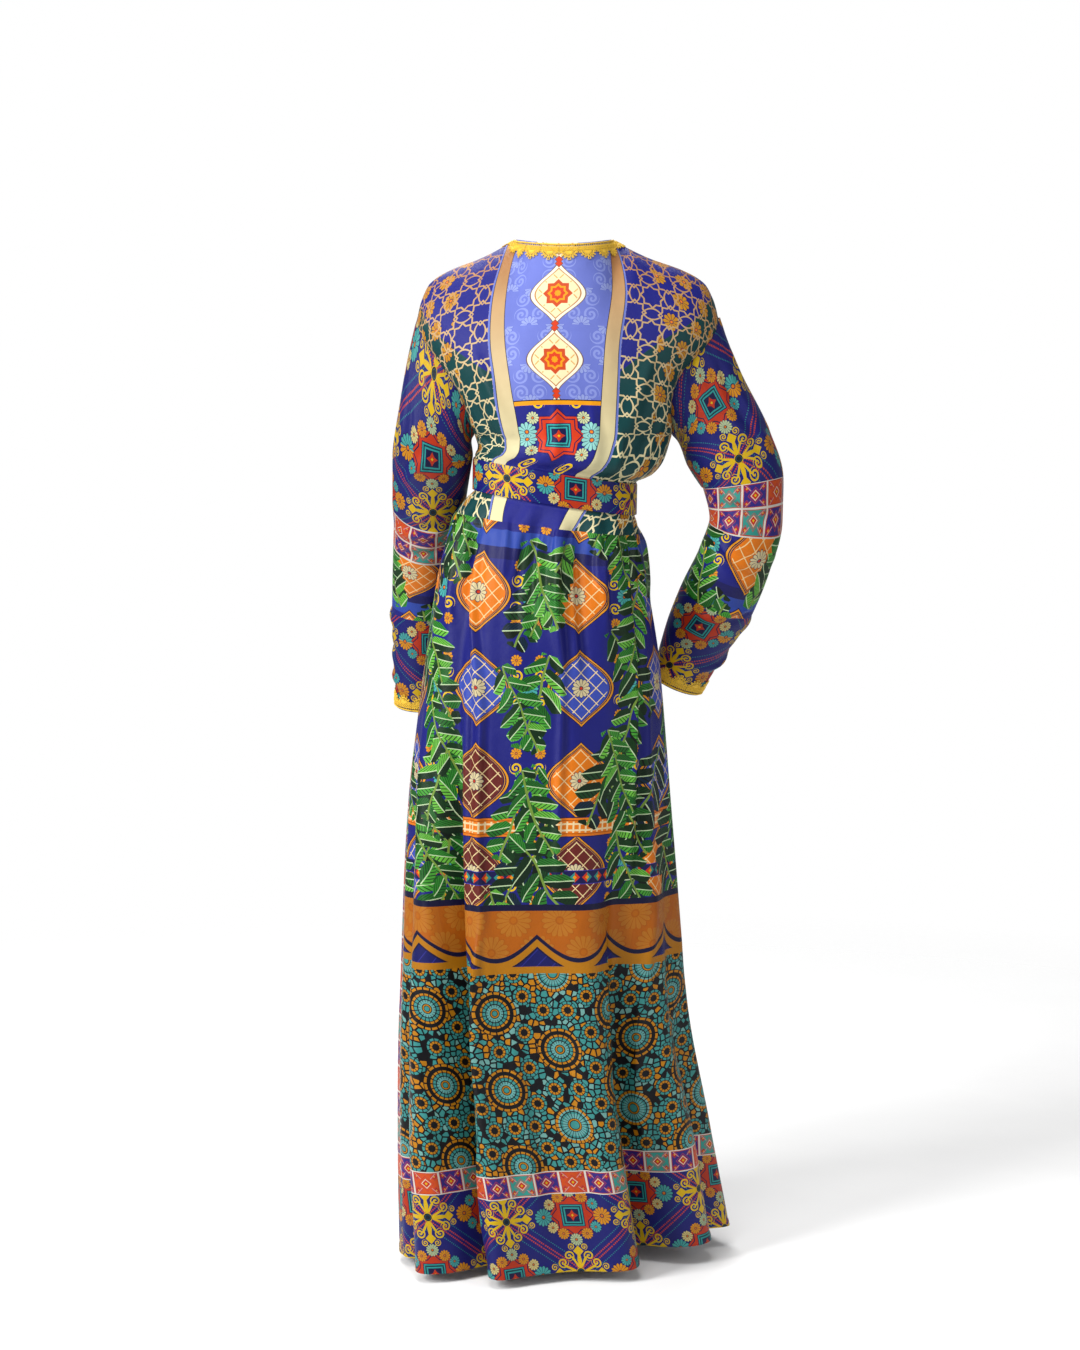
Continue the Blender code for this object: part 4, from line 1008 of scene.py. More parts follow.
def tiles(x, y):
    """One or more rows of square tiles with white outlines and red diamonds."""
    wide, high = 38.0, 34.0
    number = add("FLOOR", add("DIVIDE", x, wide))
    row = add("FLOOR", add("DIVIDE", y, high))
    turn = add("FLOORED_MODULO", add("MULTIPLY_ADD", row, 3.0, number), 4.0)
    ground = add("ValToRGB", add("DIVIDE", turn, 4.0), stops=[
        (0, "#E8581C"), (0.2, "#3A2A8C"), (0.45, "#3CA89C"), (0.7, "#3A2A8C"),
    ])
    dx = off(x, add("MULTIPLY_ADD", number, wide, wide / 2))
    dy = off(y, add("MULTIPLY_ADD", row, high, high / 2))
    corner = add("ADD", off(dx, 12.5), off(dy, 10.0))
    shade = rings(ground, corner, [
        (0, "#F0B040"), (1.6, "#C8242C"), (4.0, None), (4.8, "#B8404C"), (5.6, None),
    ])
    diamond = add("ADD", dx, dy)
    shade = rings(shade, diamond, [
        (0, YELLOW), (2.2, "#D8281C"), (5.6, "#F4E4C8"), (7.2, "#D8401C"), (8.4, None), (10.2, "#C83A3A"),
        (11.2, None),
    ])
    fine = both(add("LESS_THAN", off(dx, dy), 0.8), add("GREATER_THAN", diamond, 13.0))
    shade = paint(shade, fine, "#E8A0A0")
    rim = add("MAXIMUM", add("SUBTRACT", dx, wide / 2), add("SUBTRACT", dy, high / 2))
    shade = paint(shade, add("GREATER_THAN", rim, -2.6), "#C8381C")
    return paint(shade, add("GREATER_THAN", rim, -1.5), "#F4ECE0")


# %% [markdown]
# ## Mosaic, leaf and ribbon prints
#
# Between the orange band and the hem lies a field of cut-tile mosaic in turquoise, gold and black: round
# rosettes with smaller pieces packed between them. The packing is a Voronoi pattern with pieces 9 mm
# across. The cloth above it has columns of medallions with leafy garlands between them on royal blue, and
# a swagged ribbon under a band of orange.

# %% Mosaic, leaves, ribbons
def rosette(under, x, y, centre, petals, stops):
    """A round figure of beads: rings of colour, cut by dark spokes."""
    r, angle = around(x, y, centre)
    shade = rings(under, r, stops)
    spoke = both(
        add("LESS_THAN", add("ABSOLUTE", add("COSINE", add("MULTIPLY", angle, petals / 2))), 0.34),
        add("GREATER_THAN", r, stops[-1][0] * 0.3),
        add("LESS_THAN", r, stops[-2][0]),
    )
    return paint(shade, spoke, INK)


DARK_ROSE = [
    (0, TURQUOISE), (3.6, INK), (4.6, GOLD), (6.2, INK), (7.4, "#7CCCC8"), (12.5, INK), (14.0, TURQUOISE),
    (18.0, INK), (19.0, GOLD), (22.0, INK), (27.5, GOLD), (31.0, INK), (32.0, None),
]
PALE_ROSE = [
    (0, TURQUOISE), (6.0, INK), (7.2, GOLD), (9.0, INK), (10.0, "#7CCCC8"), (16.5, TURQUOISE), (19.0, INK),
    (20.5, "#7CCCC8"), (23.0, GOLD), (27.0, INK), (28.0, None),
]
SMALL_ROSE = [(0, INK), (5.2, GOLD), (8.6, INK), (9.6, TURQUOISE), (13.0, INK), (14.0, None)]


def mosaic(x, y):
    """Rosettes of turquoise, gold and black pieces, with smaller pieces packed between them."""
    piece, wide, high = 8.6, 88.0, 112.0
    place = add("CombineXYZ", add("DIVIDE", x, piece), add("DIVIDE", y, piece))
    colours, joint = (
        add("TexVoronoi", place, 1.0, None, None, None, 0.85, voronoi_dimensions="2D", feature=feature)
        for feature in ("F1", "DISTANCE_TO_EDGE")
    )
    tone = add("SeparateXYZ", colours.node.outputs[1])
    shade = add("ValToRGB", tone, stops=[
        (0, TURQUOISE), (0.42, "#8CD0C8"), (0.58, GOLD), (0.82, INK), (1.0, INK),
    ])
    shade = within(shade, joint, 0.13, INK)
    px, py = add("PINGPONG", x, wide), add("PINGPONG", y, high)
    for centre in ((17.5, 54.0), (46.0, 33.0), (57.0, 0.0), (wide, 0.0), (wide, high), (48.0, 86.0)):
        shade = rosette(shade, px, py, centre, 10, SMALL_ROSE)
    for centre in ((0.0, high), (wide, high / 2)):
        shade = rosette(shade, px, py, centre, 18, DARK_ROSE)
    return rosette(shade, px, py, (0.0, 0.0), 24, PALE_ROSE)


# millimetres between two columns of medallions, and where the garland between them runs
COLUMN, GARLAND = 150.0, 20.0


def branch(under, x, y, tilt, wide, long, pitch, thick, greens):
    """Branches of pointed oval leaves, all leaning one way, in garlands; thick says how many."""
    tx, ty = turned(x, y, tilt)
    dx, dy, chance = repeat(tx, ty, wide, long)
    cos, sin = math.cos(math.radians(tilt)), math.sin(math.radians(tilt))
    middle = add("ADD", add("ADD", x, GARLAND), add("MULTIPLY_ADD", dy, sin, add("MULTIPLY", dx, -cos)))
    beside = add("PINGPONG", middle, COLUMN / 2)
    grown = add("LESS_THAN", chance, add("MULTIPLY_ADD", beside, thick / -46, thick))
    away = add("ABSOLUTE", dx)
    up = add("DIVIDE", dy, long / 2)
    reach = add("MULTIPLY_ADD", add("MULTIPLY", up, up), -0.38 * wide, 0.5 * wide)
    side, far = add("SIGN", dx), add("ABSOLUTE", up)
    along = add("MULTIPLY_ADD", away, -0.62, add("MULTIPLY_ADD", side, pitch / 4, dy))
    along = add("DIVIDE", along, pitch)
    aside = add("SUBTRACT", add("FRACT", along), 0.5)
    across = add("ABSOLUTE", aside)
    out = add("DIVIDE", away, reach)
    oval = add("MULTIPLY", add("MULTIPLY_ADD", out, -1.0, 1.0), add("MULTIPLY_ADD", out, 1.9, 0.08))
    oval = add("MINIMUM", oval, 0.43)
    leaf = both(
        add("LESS_THAN", across, oval), add("LESS_THAN", away, reach), add("LESS_THAN", far, 0.92), grown,
    )
    seed = add("CombineXYZ", add("FLOOR", along), add("MULTIPLY", side, 3.0), add("MULTIPLY", chance, 50.0))
    tone = add("TexWhiteNoise", seed)
    tone = add("MULTIPLY_ADD", add("GREATER_THAN", aside, 0.0), 0.4, add("MULTIPLY", tone, 0.6))
    green = add("ValToRGB", tone, stops=[(i / len(greens), colour) for i, colour in enumerate(greens)])
    vein = add("PINGPONG", add("MULTIPLY_ADD", across, 1.1, add("MULTIPLY", out, wide / 2 / pitch)), 0.11)
    green = paint(green, both(add("LESS_THAN", vein, 0.03), add("GREATER_THAN", across, 0.05)), greens[-1])
    green = within(green, across, 0.03, "#C8E0B0")
    under = paint(under, leaf, green)
    rib = both(add("LESS_THAN", away, 1.5), add("LESS_THAN", far, 0.9), grown)
    return paint(under, rib, "#7A9A3C")


def leaves(x, y):
    """Columns of medallions on royal blue, crossed by a ribbon, with leafy garlands between them."""
    dx, dy, chance = repeat(add("ADD", x, GARLAND), add("ADD", y, -28.0), COLUMN, 132.0, 0.0)
    ax, ay = folded(dx, dy)
    ogee = add("MULTIPLY_ADD", add("COSINE", add("MULTIPLY", ay, math.pi / 76)), -30.0, ax)
    panel = paint(ORANGE, add("GREATER_THAN", chance, 0.6), "#6A2420")
    panel = paint(panel, add("GREATER_THAN", chance, 0.84), "#3C50B4")
    shade = within(ROYAL, off(y, 22.0), 12.0, "#2C48A8")
    shade = within(shade, off(y, 40.0), 8.0, "#15155C")
    shade = rings(shade, add("ADD", ogee, 30.0), [
        (0, None), (0.5, GOLD), (44.0, NAVY), (46.0, GOLD), (49.0, NAVY), (51.0, None),
    ])
    shade = within(shade, ogee, 13.0, NAVY)
    shade = within(shade, ogee, 11.5, panel)
    lattice = slants(dx, dy, 11.0)
    shade = paint(shade, both(add("LESS_THAN", ogee, 9.0), add("LESS_THAN", lattice, 0.9)), "#F8DCA0")
    for centre, size, petals, colour, core in (
        ((0.0, 0.0), 13.0, 12, CREAM, RED), ((COLUMN / 2, 0.0), 13.0, 12, TURQUOISE, ORANGE),
        ((58.0, 40.0), 8.0, 10, GOLD, ORANGE),
    ):
        shade = daisy(shade, ax, ay, centre, size, petals, colour, core)
    shade = curl(shade, ax, ay, (58.0, 19.0), 9.0, 1.0, YELLOW)
    # an orange ribbon with cream dots, and a line of small tiles under it
    ribbon_at, tiles_at, dot, square = 424.0, 496.0, 4.5, 9.0
    ribbon = off(y, ribbon_at)
    shade = rings(shade, ribbon, [(0, ORANGE), (9.0, "#A04808"), (10.0, ORANGE), (13.0, NAVY), (14.5, None)])
    knot = add("MAXIMUM", add("PINGPONG", x, dot), add("PINGPONG", add("SUBTRACT", y, ribbon_at), dot))
    shade = paint(shade, both(add("GREATER_THAN", knot, 3.2), add("LESS_THAN", ribbon, 8.0)), "#F6DCA8")
    line = off(y, tiles_at)
    diamond = add("ADD", add("PINGPONG", x, square), line)
    colour = within(RED, add("FLOORED_MODULO", x, 4 * square), 2 * square, "#2C8C84")
    shade = rings(shade, line, [(0, "#141450"), (9.0, "#3A3CB0"), (10.0, None)])
    shade = within(shade, diamond, 7.5, colour)
    shade = within(shade, diamond, 3.0, GOLD)
    # branches in four layers make the garlands, which sway a little
    sway = add("TexNoise", add("CombineXYZ", x, y), 0.009, 1.0)
    bent = add("SUBTRACT", add("MULTIPLY_ADD", sway, 46.0, x), 23.0)
    dark, mid = ["#0A2A12", "#0A2840", "#12401C", "#061608"], ["#14521C", "#0A2C10", "#2A7A28", "#082410"]
    light = ["#2E8A2A", "#0C3812", "#1E6A20", "#6CC040", "#46A034", "#0A2C10"]
    for layer in (
        (28.0, 84.0, 176.0, 30.0, 1.3, dark), (-34.0, 78.0, 166.0, 28.0, 1.4, mid),
        (20.0, 74.0, 156.0, 26.0, 1.6, light), (-24.0, 68.0, 146.0, 24.0, 1.5, light),
    ):
        shade = branch(shade, bent, y, *layer)
    return shade


def sunset(x, y):
    """Orange with tonal flowers, and a gold ribbon in swags on royal blue below it."""
    swag_wide = 118.0
    dx, dy, chance = repeat(x, y, 66.0, 46.0)
    shade = within(ORANGE, chance, 0.3, "#EE8412")
    shade = daisy(shade, dx, dy, (0.0, 0.0), 25.0, 16, "#F09428", core="#EE8412", line="#DE760E")
    drop = add("ABSOLUTE", add("SINE", add("MULTIPLY", x, math.pi / swag_wide)))
    swag = add("MULTIPLY_ADD", drop, -34.0, add("SUBTRACT", y, 52.0))
    below = within(ROYAL, add("PINGPONG", add("ADD", x, y), 11.0), 0.8, "#3A3CB8")
    shade = paint(shade, add("GREATER_THAN", swag, 0.0), below)
    shade = rings(shade, add("ADD", swag, 9.0), [
        (0, None), (0.4, NAVY), (7.0, GOLD), (18.0, NAVY), (21.0, None),
    ])
    shade = daisy(shade, add("PINGPONG", x, swag_wide), y, (swag_wide, 88.0), 11.0, 12, TURQUOISE)
    shade = within(shade, y, 9.0, NAVY)
    return paint(shade, add("GREATER_THAN", y, 90.0), GOLD)


# %% Bodice print
BODICE_LONG = 300.0


def middle_panel(x, y):
    """The place across from the middle panel's own centre line, which leans, and the panel's half width."""
    down = add("DIVIDE", y, BODICE_LONG)
    centre = add("MULTIPLY_ADD", down, -14.0, -8.0)
    return add("SUBTRACT", x, centre), add("MULTIPLY_ADD", down, -34.0, 97.0)


def star_lattice(under, x, y, metal):
    """Two sets of eight-pointed stars with petals between them, in fine gold line work."""
    half, star, bend, petal, thick = 28.0, 13.0, 0.035, 8.5, 1.2
    ax, ay = folded(*repeat(x, y, 2 * half, 2 * half, 0.0)[:2])
    bx, by = add("SUBTRACT", half, ax), add("SUBTRACT", half, ay)
    lines = [off(eight_points(ax, ay), star), off(eight_points(bx, by), star)]
    for one, two in ((bx, ay), (by, ax)):
        lines.append(off(add("MULTIPLY_ADD", add("MULTIPLY", one, one), bend, two), petal))
    for line in lines:
        under = within(under, line, thick, metal)
    return under


def bodice(x, y, middle):
    """Star lattice at both sides, a broad pale band, and a middle of its own."""
    across, edge = middle_panel(x, y)
    away = add("ABSOLUTE", across)
    past = add("SUBTRACT", away, edge)
    deep = add("GREATER_THAN", add("MULTIPLY_ADD", past, 0.9, y), 190.0)
    ground = add("Mix", deep, ROYAL, "#083E40", **COLOUR)
    far = add("GREATER_THAN", past, 70.0)
    outer = daisy(ground, *repeat(x, y, 46.0, 36.0)[:2], (0.0, 0.0), 13.0, 10, "#C08418")
    ground = paint(ground, far, outer)
    metal = add("Mix", add("DIVIDE", y, BODICE_LONG), "#B07A48", "#DCD2A4", **COLOUR)
    shade = star_lattice(ground, past, y, metal)
    for limit, colour in (
        (16.0, "#6A78C4"), (13.0, INK), (12.0, metal), (-9.0, INK), (-10.0, middle(across, y)),
    ):
        shade = within(shade, past, limit, colour)
    return shade


def yoke_middle(x, y):
    """Periwinkle with tonal scrolls, and a ladder of cream medallions down the middle."""
    pale, scroll = "#6874C4", "#8490D4"
    large = 1.5
    ax, ay = folded(*repeat(x, y, 74.0, 56.0)[:2])
    shade = curl(pale, ax, ay, (24.0, 12.0), 11.0, 1.0, scroll)
    shade = daisy(shade, ax, ay, (37.0, 28.0), 13.0, 12, "#8E9AD2", core=pale, line="#5C68BC")
    # medallions, one and a half times the scrolls' scale: a lobed outline, a lattice in it and a star
    mx = add("ABSOLUTE", add("DIVIDE", x, large))
    my = off(add("PINGPONG", add("DIVIDE", add("SUBTRACT", y, 18.0), large), 64.0), 32.0)
    lobe = add("MULTIPLY_ADD", add("COSINE", add("MULTIPLY", my, math.pi / 34)), -13.0, mx)
    shade = rings(shade, add("ADD", lobe, 30.0), [
        (0, "#F0E0B0"), (38.0, "#B87C44"), (39.5, "#F4EAD0"), (43.0, "#6A4A38"), (44.2, None),
    ])
    inner = both(add("LESS_THAN", lobe, 7.0), add("LESS_THAN", slants(mx, my, 7.0), 0.7))
    shade = paint(shade, inner, "#D8A050")
    shade = rings(shade, eight_points(mx, my), [
        (0, GOLD), (2.4, RED), (5.2, GOLD), (7.0, "#C8481C"), (10.0, "#F0E0B0"), (11.4, None),
    ])
    return rings(shade, add("ADD", mx, off(my, 30.0)), [(0, RED), (3.4, "#6A4A38"), (4.2, None)])


def waist_middle(x, y):
    """Royal blue with a gold line above a star tile between daisies."""
    ax, ay = add("ABSOLUTE", x), off(y, 270.0)
    shade = curl(ROYAL, ax, ay, (26.0, 46.0), 9.0, -1.0, YELLOW)
    shade = star_tile(shade, ax, ay, 27.0)
    shade = daisy(shade, ax, ay, (46.0, 6.0), 14.0, 12, "#8CCCC4")
    shade = daisy(shade, ax, ay, (36.0, 26.0), 9.0, 12, "#C8D0A0")
    for limit, colour in ((226.0, GOLD), (220.0, INK), (218.5, yoke_middle(x, y))):
        shade = within(shade, y, limit, colour)
    return shade


# %% [markdown]
# ## How satin takes the light
#
# Satin's long floats lie side by side, so light runs along them: the cloth has a soft, broad gloss that
# is brightest on the folds. The floats are about 0.2 mm apart, too fine to show, so the bump draws them
# 1.4 mm apart, with small wrinkles over them. The ink is a little stronger in some places than in others.

# %% Finish each printed cloth
# millimetres between floats, across a wrinkle and across a cloud of stronger or weaker ink
FLOATS, WRINKLE, CLOUD = 1.4, 26.0, 45.0
# how far the ink varies about its own strength, the floats' height beside the wrinkles' and the gloss
INK_RANGE, FLOAT_SHARE = 0.24, 0.035
GLOSS = {"Sheen_Weight": 0.015, "Sheen_Roughness": 0.35, "Specular_IOR_Level": 0.2}


def satin(name, print_of, ink_and_shade=0.5, right=0, down=0, roughness=0.45, depth=0.00035):
    """A satin finish that takes its colours from a print, scaled by how much light the print returns; the
    lower bands of the skirt return less, partly as painted shade.
    """
    finish = start_finish(name, ROYAL, roughness, **GLOSS)
    x, y = on_cloth(right, down)
    shade = print_of(x, y)
    place = add("CombineXYZ", x, y)
    cloud = add("TexNoise", place, 1 / CLOUD, 3.0)
    strength = add("MULTIPLY_ADD", cloud, INK_RANGE * ink_and_shade, (1 - INK_RANGE / 2) * ink_and_shade)
    shade = add("VectorMath", shade, strength, operation="SCALE")
    tree.links.new(shade, shader.inputs["Base Color"])
    wrinkle = add("TexNoise", place, 1 / WRINKLE, 4.0, 0.55)
    weave = add("SINE", add("MULTIPLY", add("ADD", x, y), 2 * math.pi / FLOATS))
    relief = add("MULTIPLY_ADD", weave, FLOAT_SHARE, wrinkle)
    tree.links.new(add("Bump", 0.55, depth * 6, None, relief), shader.inputs["Normal"])
    return finish


def garden_on_blue(x, y):
    """The garden print on royal blue."""
    return garden(x, y, ROYAL)


# each band's print strength is set on its own: the bands low on the skirt are darker, partly for their own
# darker colours and partly as painted shade for the light falling off towards the hem
FINISHES = {
    "garden": satin("printed_satin_garden", garden_on_blue, 0.5, right=10, down=52),
    "tiles": satin("printed_satin_tiles", tiles, 0.52, right=19),
    "mosaic": satin("printed_satin_mosaic", mosaic, 0.44, right=-20),
    "sunset": satin("printed_satin_sunset", sunset, 0.37),
    "leaves": satin("printed_satin_leaves", leaves, 0.66),
    "yoke": satin("printed_satin_yoke", lambda x, y: bodice(x, y, yoke_middle), 0.8),
    "waist": satin("printed_satin_waist", lambda x, y: bodice(x, y, waist_middle), 0.8, down=205),
    "sash": satin("sash_satin", garden_on_blue, 0.56, right=72, down=18, roughness=0.4, depth=0.0002),
}
print(len(FINISHES), "printed finishes")

# %% Wrong side of the satin, and crochet yarn
# The back of printed satin is matt and pale: the ink has only half come through.
FINISHES["reverse"] = start_finish("satin_wrong_side", "#7C80AC", 0.75, Sheen_Weight=0.03)
x, y = on_cloth()
faded = garden(x, y, "#7C80B4")
tree.links.new(add("Mix", 0.62, faded, "#C4C4CC", **COLOUR), shader.inputs["Base Color"])

# Viscose yarn: two plies twisted together, soft and slightly glossy.
YARN_GLOSS = {"Sheen_Weight": 0.08, "Sheen_Roughness": 0.4}
FINISHES["braid"] = start_finish("crochet_viscose_yarn", "#E0AC20", 0.6, **YARN_GLOSS)
spot = add("TexCoord").node.outputs["Object"]
mottle = add("TexNoise", spot, 420.0, 2.0)
tree.links.new(add("Mix", mottle, "#C4941C", "#F2CC38", **COLOUR), shader.inputs["Base Color"])
fibre = add("TexNoise", spot, 1600.0, 1.0)
tree.links.new(add("Bump", 0.5, 0.0003, None, fibre), shader.inputs["Normal"])

# %% [markdown]
# ## From rows to cloth
#
# A grid from bmesh is moved onto the rows, joined where a tube closes, and extruded to its other face. The
# bands choose each face's finish, and every face that lies on the wrong side gets the pale reverse.

# %% Make a piece of cloth
def cloth(name, node, near, far, flat, bands, closed=False, stripe=None):
    """A named piece of cloth between two layers of points, in place of one of the solids.

    bands give the finish between two heights on the flat cloth; a stripe lies over them beside a seam.
    """
    count, across = near.shape[:2]
    finishes = list(dict.fromkeys([band[0] for band in bands] + ([stripe[0]] if stripe else [])))
    bm = bmesh.new()
    bmesh.ops.create_grid(bm, x_segments=across - 1, y_segments=count - 1, size=0.5)
    place = bm.verts.layers.int.new("place")
    layer = bm.loops.layers.uv.new("cloth")
    for vert in bm.verts:
        i, j = round((vert.co.x + 0.5) * (across - 1)), round((vert.co.y + 0.5) * (count - 1))
        vert[place] = j * across + i
        vert.co = near[j, i]
    xs, ys = flat[0].ravel(), flat[1].ravel()
    for face in bm.faces:
        spots = [loop.vert[place] for loop in face.loops]
        down = sum(ys[spot] for spot in spots) / 4
        side = abs(sum(xs[spot] for spot in spots) / 4)
        finish, start = next((band[0], band[1]) for band in bands if band[1] <= down < band[2])
        striped = stripe is not None and stripe[1] < down < stripe[2] and side < stripe[3]
        face.material_index = finishes.index(stripe[0] if striped else finish)
        for loop, spot in zip(face.loops, spots):
            along_seam, on_band = (ys[spot], abs(xs[spot])), (xs[spot], ys[spot] - max(start, 0))
            loop[layer].uv = along_seam if striped else on_band
    if closed:
        bmesh.ops.remove_doubles(bm, verts=bm.verts, dist=1e-6)
    wall = bmesh.ops.extrude_face_region(bm, geom=bm.faces[:], use_keep_orig=True)
    inner = far.reshape(-1, 3)
    for part in wall["geom"]:
        if isinstance(part, bmesh.types.BMVert):
            part.co = inner[part[place]]
        if isinstance(part, bmesh.types.BMFace):
            part.material_index = len(finishes)
    bmesh.ops.recalc_face_normals(bm, faces=bm.faces)
    piece = new_piece(name, bm, *[FINISHES[finish] for finish in finishes], FINISHES["reverse"])
    piece.data.set_sharp_from_angle(angle=math.radians(60))
    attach(piece, "root")
    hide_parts(node)
    print(name, triangles(piece.data), "triangles")
    return piece


def area_of(rows):
    """The area of a grid of points, in square metres."""
    across, up = np.diff(rows[:-1], axis=1), np.diff(rows[:, :-1], axis=0)
    return float(np.linalg.norm(np.cross(across, up), axis=2).sum())


# finish, from, to, width, in metres: beside the side seams of the fronts
SIDE_STRIPE = ("tiles", 0.560, 1.328, 0.036)
back_cloth = cloth("back_cloth", "back", back, back - back_out * CLOTH, back_flat, BANDS)
for side, name, wide in ((1, "left", 0.53), (-1, "right", 0.43)):
    front = fronts[side]
    piece = cloth(f"front_{name}_cloth", f"front_{name}", front, front - fronts_out[side] * CLOTH,
                  fronts_flat[side], BANDS, stripe=SIDE_STRIPE)
    print("area", round(area_of(front), 3))
print("back area", round(area_of(back), 3))

# %% Sleeves and sash
# finish, from, to, in metres up from the cuff
SLEEVE_BANDS = (
    ("garden", -1.0, 0.150), ("leaves", 0.150, 0.268), ("tiles", 0.268, 0.336), ("garden", 0.336, 2.0),
)
for side, name in SIDES:
    rows = sleeves[side]
    piece = cloth(f"sleeve_{name}_cloth", f"sleeve_{name}", rows, rows - sleeves_out[side] * CLOTH,
                  sleeves_flat[side], SLEEVE_BANDS, closed=True)
    print("area", round(area_of(rows), 3))
sash = cloth("sash", "belt", belt + belt_out * belt_face[..., None], belt, belt_flat, (("sash", -1.0, 1.0),))

# %% [markdown]
# ## Crochet braid
#
# The yellow edging is crochet: a chain at the edge, a row of small holes, rows of V stitches, and fans
# that end in picots, one fan every 25 mm. A picture with holes would look flat from close by. Here one fan
# is made from yarn curves lying flat, in millimetres. It is then repeated along the neckline and both
# cuffs, and each copy is bent onto the cloth.

# %% One fan of yarn
PITCH, DEEP = 25.0, 25.0
PLY = 0.62


def waves(y, swing, period, radius, points, phase=0.0, low=0.0):
    """A strand that runs the width of the fan in waves."""
    x = np.linspace(0, PITCH, points)
    turn = 2 * math.pi * x / period + phase
    return np.stack([x, y + swing * np.sin(turn), low + 0.45 * np.cos(turn)], axis=1), radius, False


def loop(centre, aim, long, wide, radius):
    """A picot: a teardrop of yarn that hangs from a point."""
    t = np.linspace(0, 2 * math.pi, 11)[:-1]
    ahead, aside = np.array((math.sin(aim), math.cos(aim))), np.array((math.cos(aim), -math.sin(aim)))
    flat = np.array(centre) + np.outer((1 - np.cos(t)) * long / 2, ahead)
    flat = flat + np.outer(np.sin(t) * wide / 2 * np.sin(t / 2), aside)
    return np.column_stack([flat, 0.3 * np.sin(t / 2)]), radius, True


strands = [waves(1.1, 0.55, 5.0, 0.72, 21), waves(1.1, 0.55, 5.0, 0.72, 21, math.pi)]
strands += [waves(5.0, 0.25, 3.125, 0.55, 17), waves(11.6, 0.3, 3.125, 0.6, 17)]
for row, phase in ((6.5, 0.0), (8.2, math.pi), (9.9, 0.0)):
    strands.append(waves(row, 0.95, 3.125, 0.78, 33, phase, -0.1))
for k in range(8):
    x = (k + 0.5) * PITCH / 8
    strands.append((np.array(((x, 1.6, 0.0), (x, 3.2, 0.25), (x, 4.8, 0.0))), 0.42, False))
CENTRE = np.array((PITCH / 2, 11.4))
for aim in np.radians(np.linspace(-72, 72, 9)):
    ray = np.array((math.sin(aim), math.cos(aim)))
    near, far = CENTRE + ray * 0.8, CENTRE + ray * 8.2
    strands.append((np.array(((*near, 0.0), (*((near + far) / 2), 0.5), (*far, 0.0))), 0.68, False))
arc = np.radians(np.linspace(-92, 92, 25))
for reach, radius in ((4.4, 0.5), (8.6, 0.62)):
    flat = CENTRE + reach * np.stack([np.sin(arc), np.cos(arc)], axis=1)
    strands.append((np.column_stack([flat, 0.2 + 0.3 * np.cos(np.arange(25) * 2.1)]), radius, False))
for degrees in (-78, -52, -27, 27, 52, 78):
    aim = math.radians(degrees)
    strands.append(loop(CENTRE + 8.9 * np.array((math.sin(aim), math.cos(aim))), aim, 2.9, 2.6, 0.5))
strands.append(loop(CENTRE + (0, 8.6), 0.0, 5.0, 4.2, PLY))
curve = bpy.data.curves.new("fan_yarn", "CURVE")
curve.dimensions = "3D"
curve.bevel_depth = 1.0
curve.bevel_resolution = 1
curve.use_fill_caps = True
for points, radius, cyclic in strands:
    spline = curve.splines.new("POLY")
    spline.points.add(len(points) - 1)
    spline.use_cyclic_u = cyclic
    for spot, place in zip(spline.points, points):
        spot.co = (*place, 1)
        spot.radius = radius
model = bpy.data.objects.new("fan_yarn", curve)
scene.collection.objects.link(model)
bpy.context.view_layer.update()
fan = bpy.data.meshes.new_from_object(model.evaluated_get(bpy.context.evaluated_depsgraph_get()))
bpy.data.objects.remove(model)
fan_places = np.array([vert.co for vert in fan.vertices])
print("one fan:", len(strands), "strands,", triangles(fan), "triangles")

# %% [markdown]
# ## Where the braid lies
#
# The neck braid follows the edge of both fronts and the back of the neck, and lies on whichever cloth is
# under it. The nearest point of the cloth gives each place its height and its normal, and the normals are
# averaged along the run so that the fans don't flutter.

# %% Rows of the braid
BRAID_CLEAR, BRAID_INSET, BRAID_WIDTH = 0.0008, 0.0015, 0.025
BRAID_STOPS = {1: 0.296, -1: 0.318}
BRAID_LAP_FROM, BRAID_LAP_GAP, BRAID_END_GAP = 0.200, 0.004, 0.0005
NECK_MIDDLE, BODY_MIDDLE = np.array((0, -0.03, 0.10)), Vector((0, 0, -0.30))
FAN_COLUMNS, BRAID_ROWS, SMOOTH_REACH = 8, 7, 7
BRAID_LEAST = 0.002


def surface_tree(grids):
    """A search tree over some panels, for their nearest points and normals."""
    places, faces = [], []
    for grid in grids:
        start, across = len(places), grid.shape[1]
        places += grid.reshape(-1, 3).tolist()
        corners = start + (np.arange(grid.shape[0] - 1)[:, None] * across + np.arange(across - 1)).ravel()
        faces += np.stack([corners, corners + 1, corners + across + 1, corners + across], axis=1).tolist()
    return BVHTree.FromPolygons(places, faces)


def resting(points, trees):
    """The nearest points of the cloth to a row of points, and its normals there."""
    spots, ups = [], []
    for point, tree in zip(points, trees):
        spot, up, _, _ = tree.find_nearest(Vector(point))
        spots.append(spot)
        ups.append(up if up.dot(spot - BODY_MIDDLE) > 0 else -up)
    return np.array(spots), np.array(ups)


def soften(directions):
    """Unit vectors averaged with their neighbours along a run."""
    padded = np.concatenate([directions[:1]] * SMOOTH_REACH + [directions] + [directions[-1:]] * SMOOTH_REACH)
    total = sum(padded[i:i + len(directions)] for i in range(2 * SMOOTH_REACH + 1))
    return unit(total)


def neckline(front, stops):
    """One front's neck edge, from the drop where the braid stops up to the neck point."""
    edge = front[:, -1]
    first = int(np.argmax(-edge[:, 2] < stops))
    share = (-edge[first - 1, 2] - stops) / (edge[first, 2] - edge[first - 1, 2])
    return np.vstack([edge[first - 1] + (edge[first] - edge[first - 1]) * share, edge[first:]])


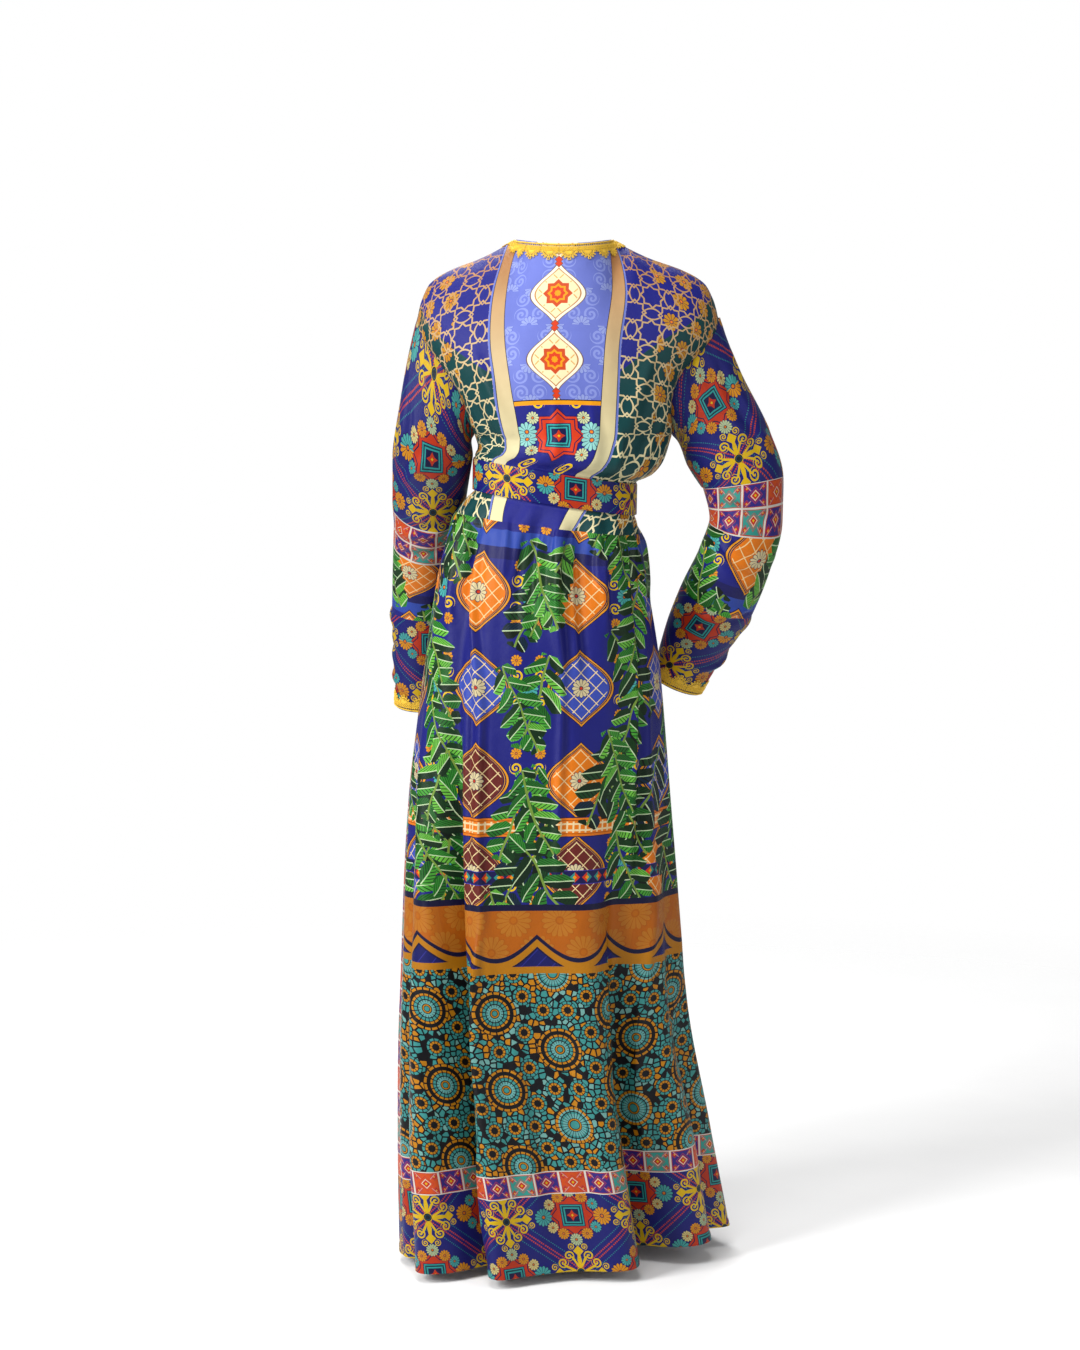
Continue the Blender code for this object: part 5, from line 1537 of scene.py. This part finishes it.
def neck_braid_rows():
    """Rows across the neck braid, from its chain to its picots, and the normals there."""
    ends = {side: neckline(fronts[side], BRAID_STOPS[side]) for side in fronts}
    stretches = [ends[1], neck_top()[1:-1], ends[-1][::-1]]
    panels = [surface_tree([back, *some]) for some in ([fronts[1]], [fronts[1], fronts[-1]], [fronts[-1]])]
    edge = np.vstack(stretches)
    long = lengths(edge)[-1]
    fans = int(round(long * 1000 / PITCH))
    path = evenly(edge, fans * FAN_COLUMNS + 1, BRAID_END_GAP, BRAID_END_GAP)
    run = np.linspace(0, long, len(path))
    marks = np.cumsum([lengths(part)[-1] for part in stretches])
    trees = [panels[min(int(np.searchsorted(marks, at)), 2)] for at in run]
    start, up = resting(path, trees)
    aside = np.cross(soften(up), np.gradient(path, axis=0))
    aside *= np.sign(np.sum(aside * (path - NECK_MIDDLE), axis=1))[:, None]
    aside = soften(aside)
    near = np.full(len(path), BRAID_INSET)
    under = (run < marks[0]) & (path[:, 2] < -BRAID_LAP_FROM)
    near[under] = np.maximum(BRAID_INSET, 2 * front_reach(-path[under, 2]) + BRAID_LAP_GAP)
    rows, out = [], []
    for share in np.linspace(0, 1, BRAID_ROWS):
        away = near + share * np.maximum(BRAID_INSET + BRAID_WIDTH - near, BRAID_LEAST)
        spot, up = resting(start + aside * away[:, None], trees)
        rows.append(spot + soften(up) * BRAID_CLEAR)
        out.append(soften(up))
    return np.array(rows), np.array(out), fans


def cuff_braid_rows(rows):
    """Rows up a cuff's braid from the sleeve's edge, and the normals there."""
    ring_points = rows[-1]
    fans = int(round(lengths(ring_points)[-1] * 1000 / PITCH))
    columns = np.linspace(0, rows.shape[1] - 1, fans * FAN_COLUMNS + 1)
    k = np.minimum(columns.astype(int), rows.shape[1] - 2)
    part = (columns - k)[None, :, None]
    near = rows[::-1, k] * (1 - part) + rows[::-1, k + 1] * part
    up_arm = running(near, 0)
    normal = outward(near, near[:, :-1].mean(axis=1, keepdims=True), closed=True)
    made, out = [], []
    for share in np.linspace(0, 1, BRAID_ROWS):
        away = BRAID_INSET + share * BRAID_WIDTH
        place = [[np.interp(away, up_arm[:, i], layer[:, i, axis]) for axis in range(3)]
                 for layer in (near, normal) for i in range(len(columns))]
        made.append(np.array(place[:len(columns)]))
        out.append(np.array(place[len(columns):]))
    return np.array(made) + np.array(out) * BRAID_CLEAR, np.array(out), fans


def braid(name, node, rows, out, fans):
    """A braid of bent fans, in place of one of the solids."""
    bm = bmesh.new()
    at_y = np.clip(fan_places[:, 1] / DEEP, 0, 1) * (len(rows) - 1)
    j = np.minimum(at_y.astype(int), len(rows) - 2)
    q = (at_y - j)[:, None]
    for fan_number in range(fans):
        at_x = (fan_number + np.clip(fan_places[:, 0] / PITCH, 0, 1)) * FAN_COLUMNS
        i = np.minimum(at_x.astype(int), rows.shape[1] - 2)
        p = (at_x - i)[:, None]
        spot, up = [
            (grid[j, i] * (1 - p) + grid[j, i + 1] * p) * (1 - q)
            + (grid[j + 1, i] * (1 - p) + grid[j + 1, i + 1] * p) * q
            for grid in (rows, out)
        ]
        bent = spot + up * ((fan_places[:, 2] + 0.5) / 1000)[:, None]
        first = len(bm.verts)
        bm.from_mesh(fan)
        bm.verts.ensure_lookup_table()
        for vert, place in zip(bm.verts[first:], bent):
            vert.co = place
    bmesh.ops.recalc_face_normals(bm, faces=bm.faces)
    piece = new_piece(name, bm, FINISHES["braid"])
    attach(piece, "root")
    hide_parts(node)
    print(name, fans, "fans,", triangles(piece.data), "triangles")
    return piece


braid("neck_crochet", "neck_braid", *neck_braid_rows())
for side, name in SIDES:
    braid(f"cuff_crochet_{name}", f"cuff_braid_{name}", *cuff_braid_rows(sleeves[side]))
